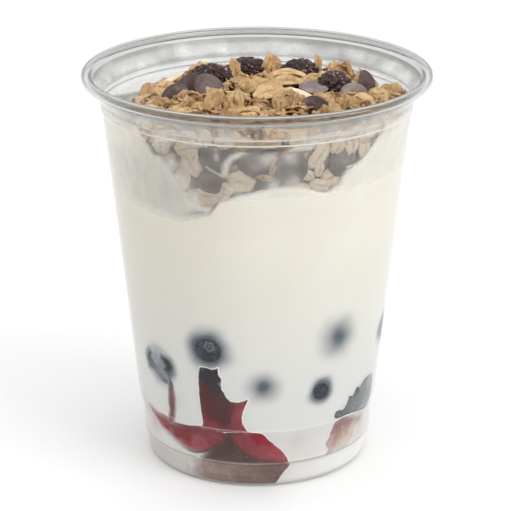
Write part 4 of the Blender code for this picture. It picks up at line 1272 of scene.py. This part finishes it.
def chocolate_drop(number, centre, way, radius, bloomed):
    """A drop as a squashed dome whose foot is drawn flat."""
    bm = bmesh.new()
    bmesh.ops.create_uvsphere(bm, u_segments=32, v_segments=20, radius=radius)
    bloom_layer = bm.verts.layers.float.new("bloom")
    for vert in bm.verts:
        vert[bloom_layer] = bloomed
        share = hypot(vert.co.x, vert.co.y) / radius
        if vert.co.z < 0:
            vert.co.z = vert.co.z * 0.16 + radius * 0.07 * exp(-(share / 0.72) ** 8)
        else:
            vert.co.z = radius * 0.52 * (1 - share ** 2.6) + radius * 0.05 * bell(share, 0, 0.14)
    bm.transform(Matrix.LocRotScale(centre, Vector((0, 0, 1)).rotation_difference(way), None))
    for vert in bm.verts:
        vert.co = inside_wall(vert.co, 0.00005)
    piece(f"chocolate_piece_{number}", bm, dark_chocolate, "chocolate", f"chocolate_drop_{number}")


for number, (x, y, lift, way, radius, bloomed) in enumerate(DROPS_ON_TOP, start=1):
    chocolate_drop(number, over_heap(x, y, lift), Vector(way).normalized(), radius / 1000, bloomed)
for number, (angle, height, radius, foot_out) in enumerate(DROPS_AT_WALL, start=len(DROPS_ON_TOP) + 1):
    inset = radius * (0.00017 if foot_out else 0.00046)
    centre = place_at(angle, wall_radius(height / 1000) - inset, height / 1000)
    way = outward(centre) * (-1 if foot_out else 1)
    chocolate_drop(number, centre, way, radius / 1000, 0.15)


# ------------------------------------------------------------------------------------- dried fruit
# Wrinkled raisins, dark and sticky, with crystals of sugar in their folds.

# x, y in mm, lift in mm, half sizes in mm, turn in degrees
RAISINS = ((12.2, 19.0, 1.7, (5.6, 4.6, 3.7), 10), (21.6, 3.2, 1.8, (4.8, 5.0, 3.5), -35),
           (-2.6, 22.5, 1.5, (5.4, 4.4, 3.2), 5), (-12.8, 11.6, 1.5, (6.2, 4.4, 3.3), -12))
raisin_skin, tree, shader = node_material("raisin_skin", 0.42, 0.3)
# Painted shade: the skin is darker in its folds.
skin = colour_mix(tree, attribute(tree, "fold"), (0.060, 0.028, 0.026), (0.020, 0.008, 0.008))
sugar = ramp(tree, grain(tree, 900, 2.0, 0.5), (0.56, 0.0), (0.68, 1.0))
sugared = ramp(tree, grain(tree, 150, 2.0), (0.42, 0.15), (0.60, 1.0))
tree.links.new(colour_mix(tree, worked_out(tree, "MULTIPLY", sugar, sugared), skin, (0.42, 0.30, 0.31)),
               shader.inputs["Base Color"])
bump(tree, shader, grain(tree, 900, 3.0), 0.4, 0.0004)
for number, (x, y, lift, half, turn) in enumerate(RAISINS, start=1):
    raisin_bmesh = bmesh.new()
    bmesh.ops.create_icosphere(raisin_bmesh, subdivisions=5, radius=1.0)
    fold_layer = raisin_bmesh.verts.layers.float.new("fold")
    for vert in raisin_bmesh.verts:
        way = vert.co.normalized()
        bent = way * 2.3 + Vector((number * 3.1, 0, 0)) + 0.5 * wandering(way * 2.0)
        crease = 1 - abs(noise.noise(bent)) * 3.2
        fine = 1 - abs(noise.noise(bent * 2.4 + Vector((5, 1, 2)))) * 3.2
        depth = 0.17 * max(crease, 0) + 0.10 * max(fine, 0)
        vert.co = way * (1.05 - depth + 0.05 * noise.noise(bent * 7))
        vert[fold_layer] = clamped(depth / 0.2)
    turned_about = Matrix.Rotation(radians(turn), 3, "Z")
    raisin_bmesh.transform(Matrix.LocRotScale(over_heap(x, y, lift), turned_about, Vector(half) / 1000))
    piece(f"raisin_{number}", raisin_bmesh, raisin_skin, "dried_skin", f"dried_fruit_{number}")


# ------------------------------------------------------------------------ floor, light and camera
# A plain pale floor that runs on out of sight, one large soft light high on the right, a weaker
# one on the left, and a camera that looks down into the rim by about 20 degrees.

FLOOR_SIZE = 6.0
floor_bmesh = bmesh.new()
bmesh.ops.create_grid(floor_bmesh, x_segments=1, y_segments=1, size=FLOOR_SIZE / 2)
floor_mesh = mesh_of(floor_bmesh, "floor")
floor = put_in_scene("floor", floor_mesh)
floor_pale, tree, shader = node_material("pale_floor", 0.8)
shader.inputs["Base Color"].default_value = (0.90, 0.90, 0.90, 1)
floor_mesh.materials.append(floor_pale)


def soft_light(name, place, target, size, power):
    """A square area light that faces a target."""
    data = bpy.data.lights.new(name, "AREA")
    data.shape = "SQUARE"
    data.size = size
    data.energy = power
    made = put_in_scene(name, data)
    made.location = place
    made.rotation_euler = (Vector(target) - Vector(place)).to_track_quat("-Z", "Y").to_euler()


soft_light("key_light", (0.75, -0.55, 0.85), (0, 0, 0.06), 0.7, 4.2)
soft_light("fill_light", (-0.85, -0.75, 0.5), (0, 0, 0.06), 0.9, 1.3)

world = bpy.data.worlds.new("studio")
world.use_nodes = True
sky = world.node_tree
direction = sky.nodes.new("ShaderNodeTexCoord")
parts = sky.nodes.new("ShaderNodeSeparateXYZ")
sky.links.new(direction.outputs["Generated"], parts.inputs[0])
glow = ramp(sky, parts.outputs["Z"], (0.0, 0.34), (0.40, 1.0), interpolation="LINEAR")
sky.links.new(glow, sky.nodes["Background"].inputs["Color"])
sky.nodes["Background"].inputs["Strength"].default_value = 1.12
bpy.context.scene.world = world
bpy.context.scene.view_settings.view_transform = "Standard"

CAMERA_DISTANCE = 0.5957
CAMERA_HEIGHT = 0.2748
CAMERA_DIP = radians(19.98)
camera_data = bpy.data.cameras.new("camera")
camera_data.lens = 154.9
camera_data.sensor_width = 36.0
camera_data.clip_end = 20.0
camera = put_in_scene("camera", camera_data)
camera.location = (0.0, -CAMERA_DISTANCE, CAMERA_HEIGHT)
camera.rotation_euler = (pi / 2 - CAMERA_DIP, 0.0, 0.0)
bpy.context.scene.camera = camera
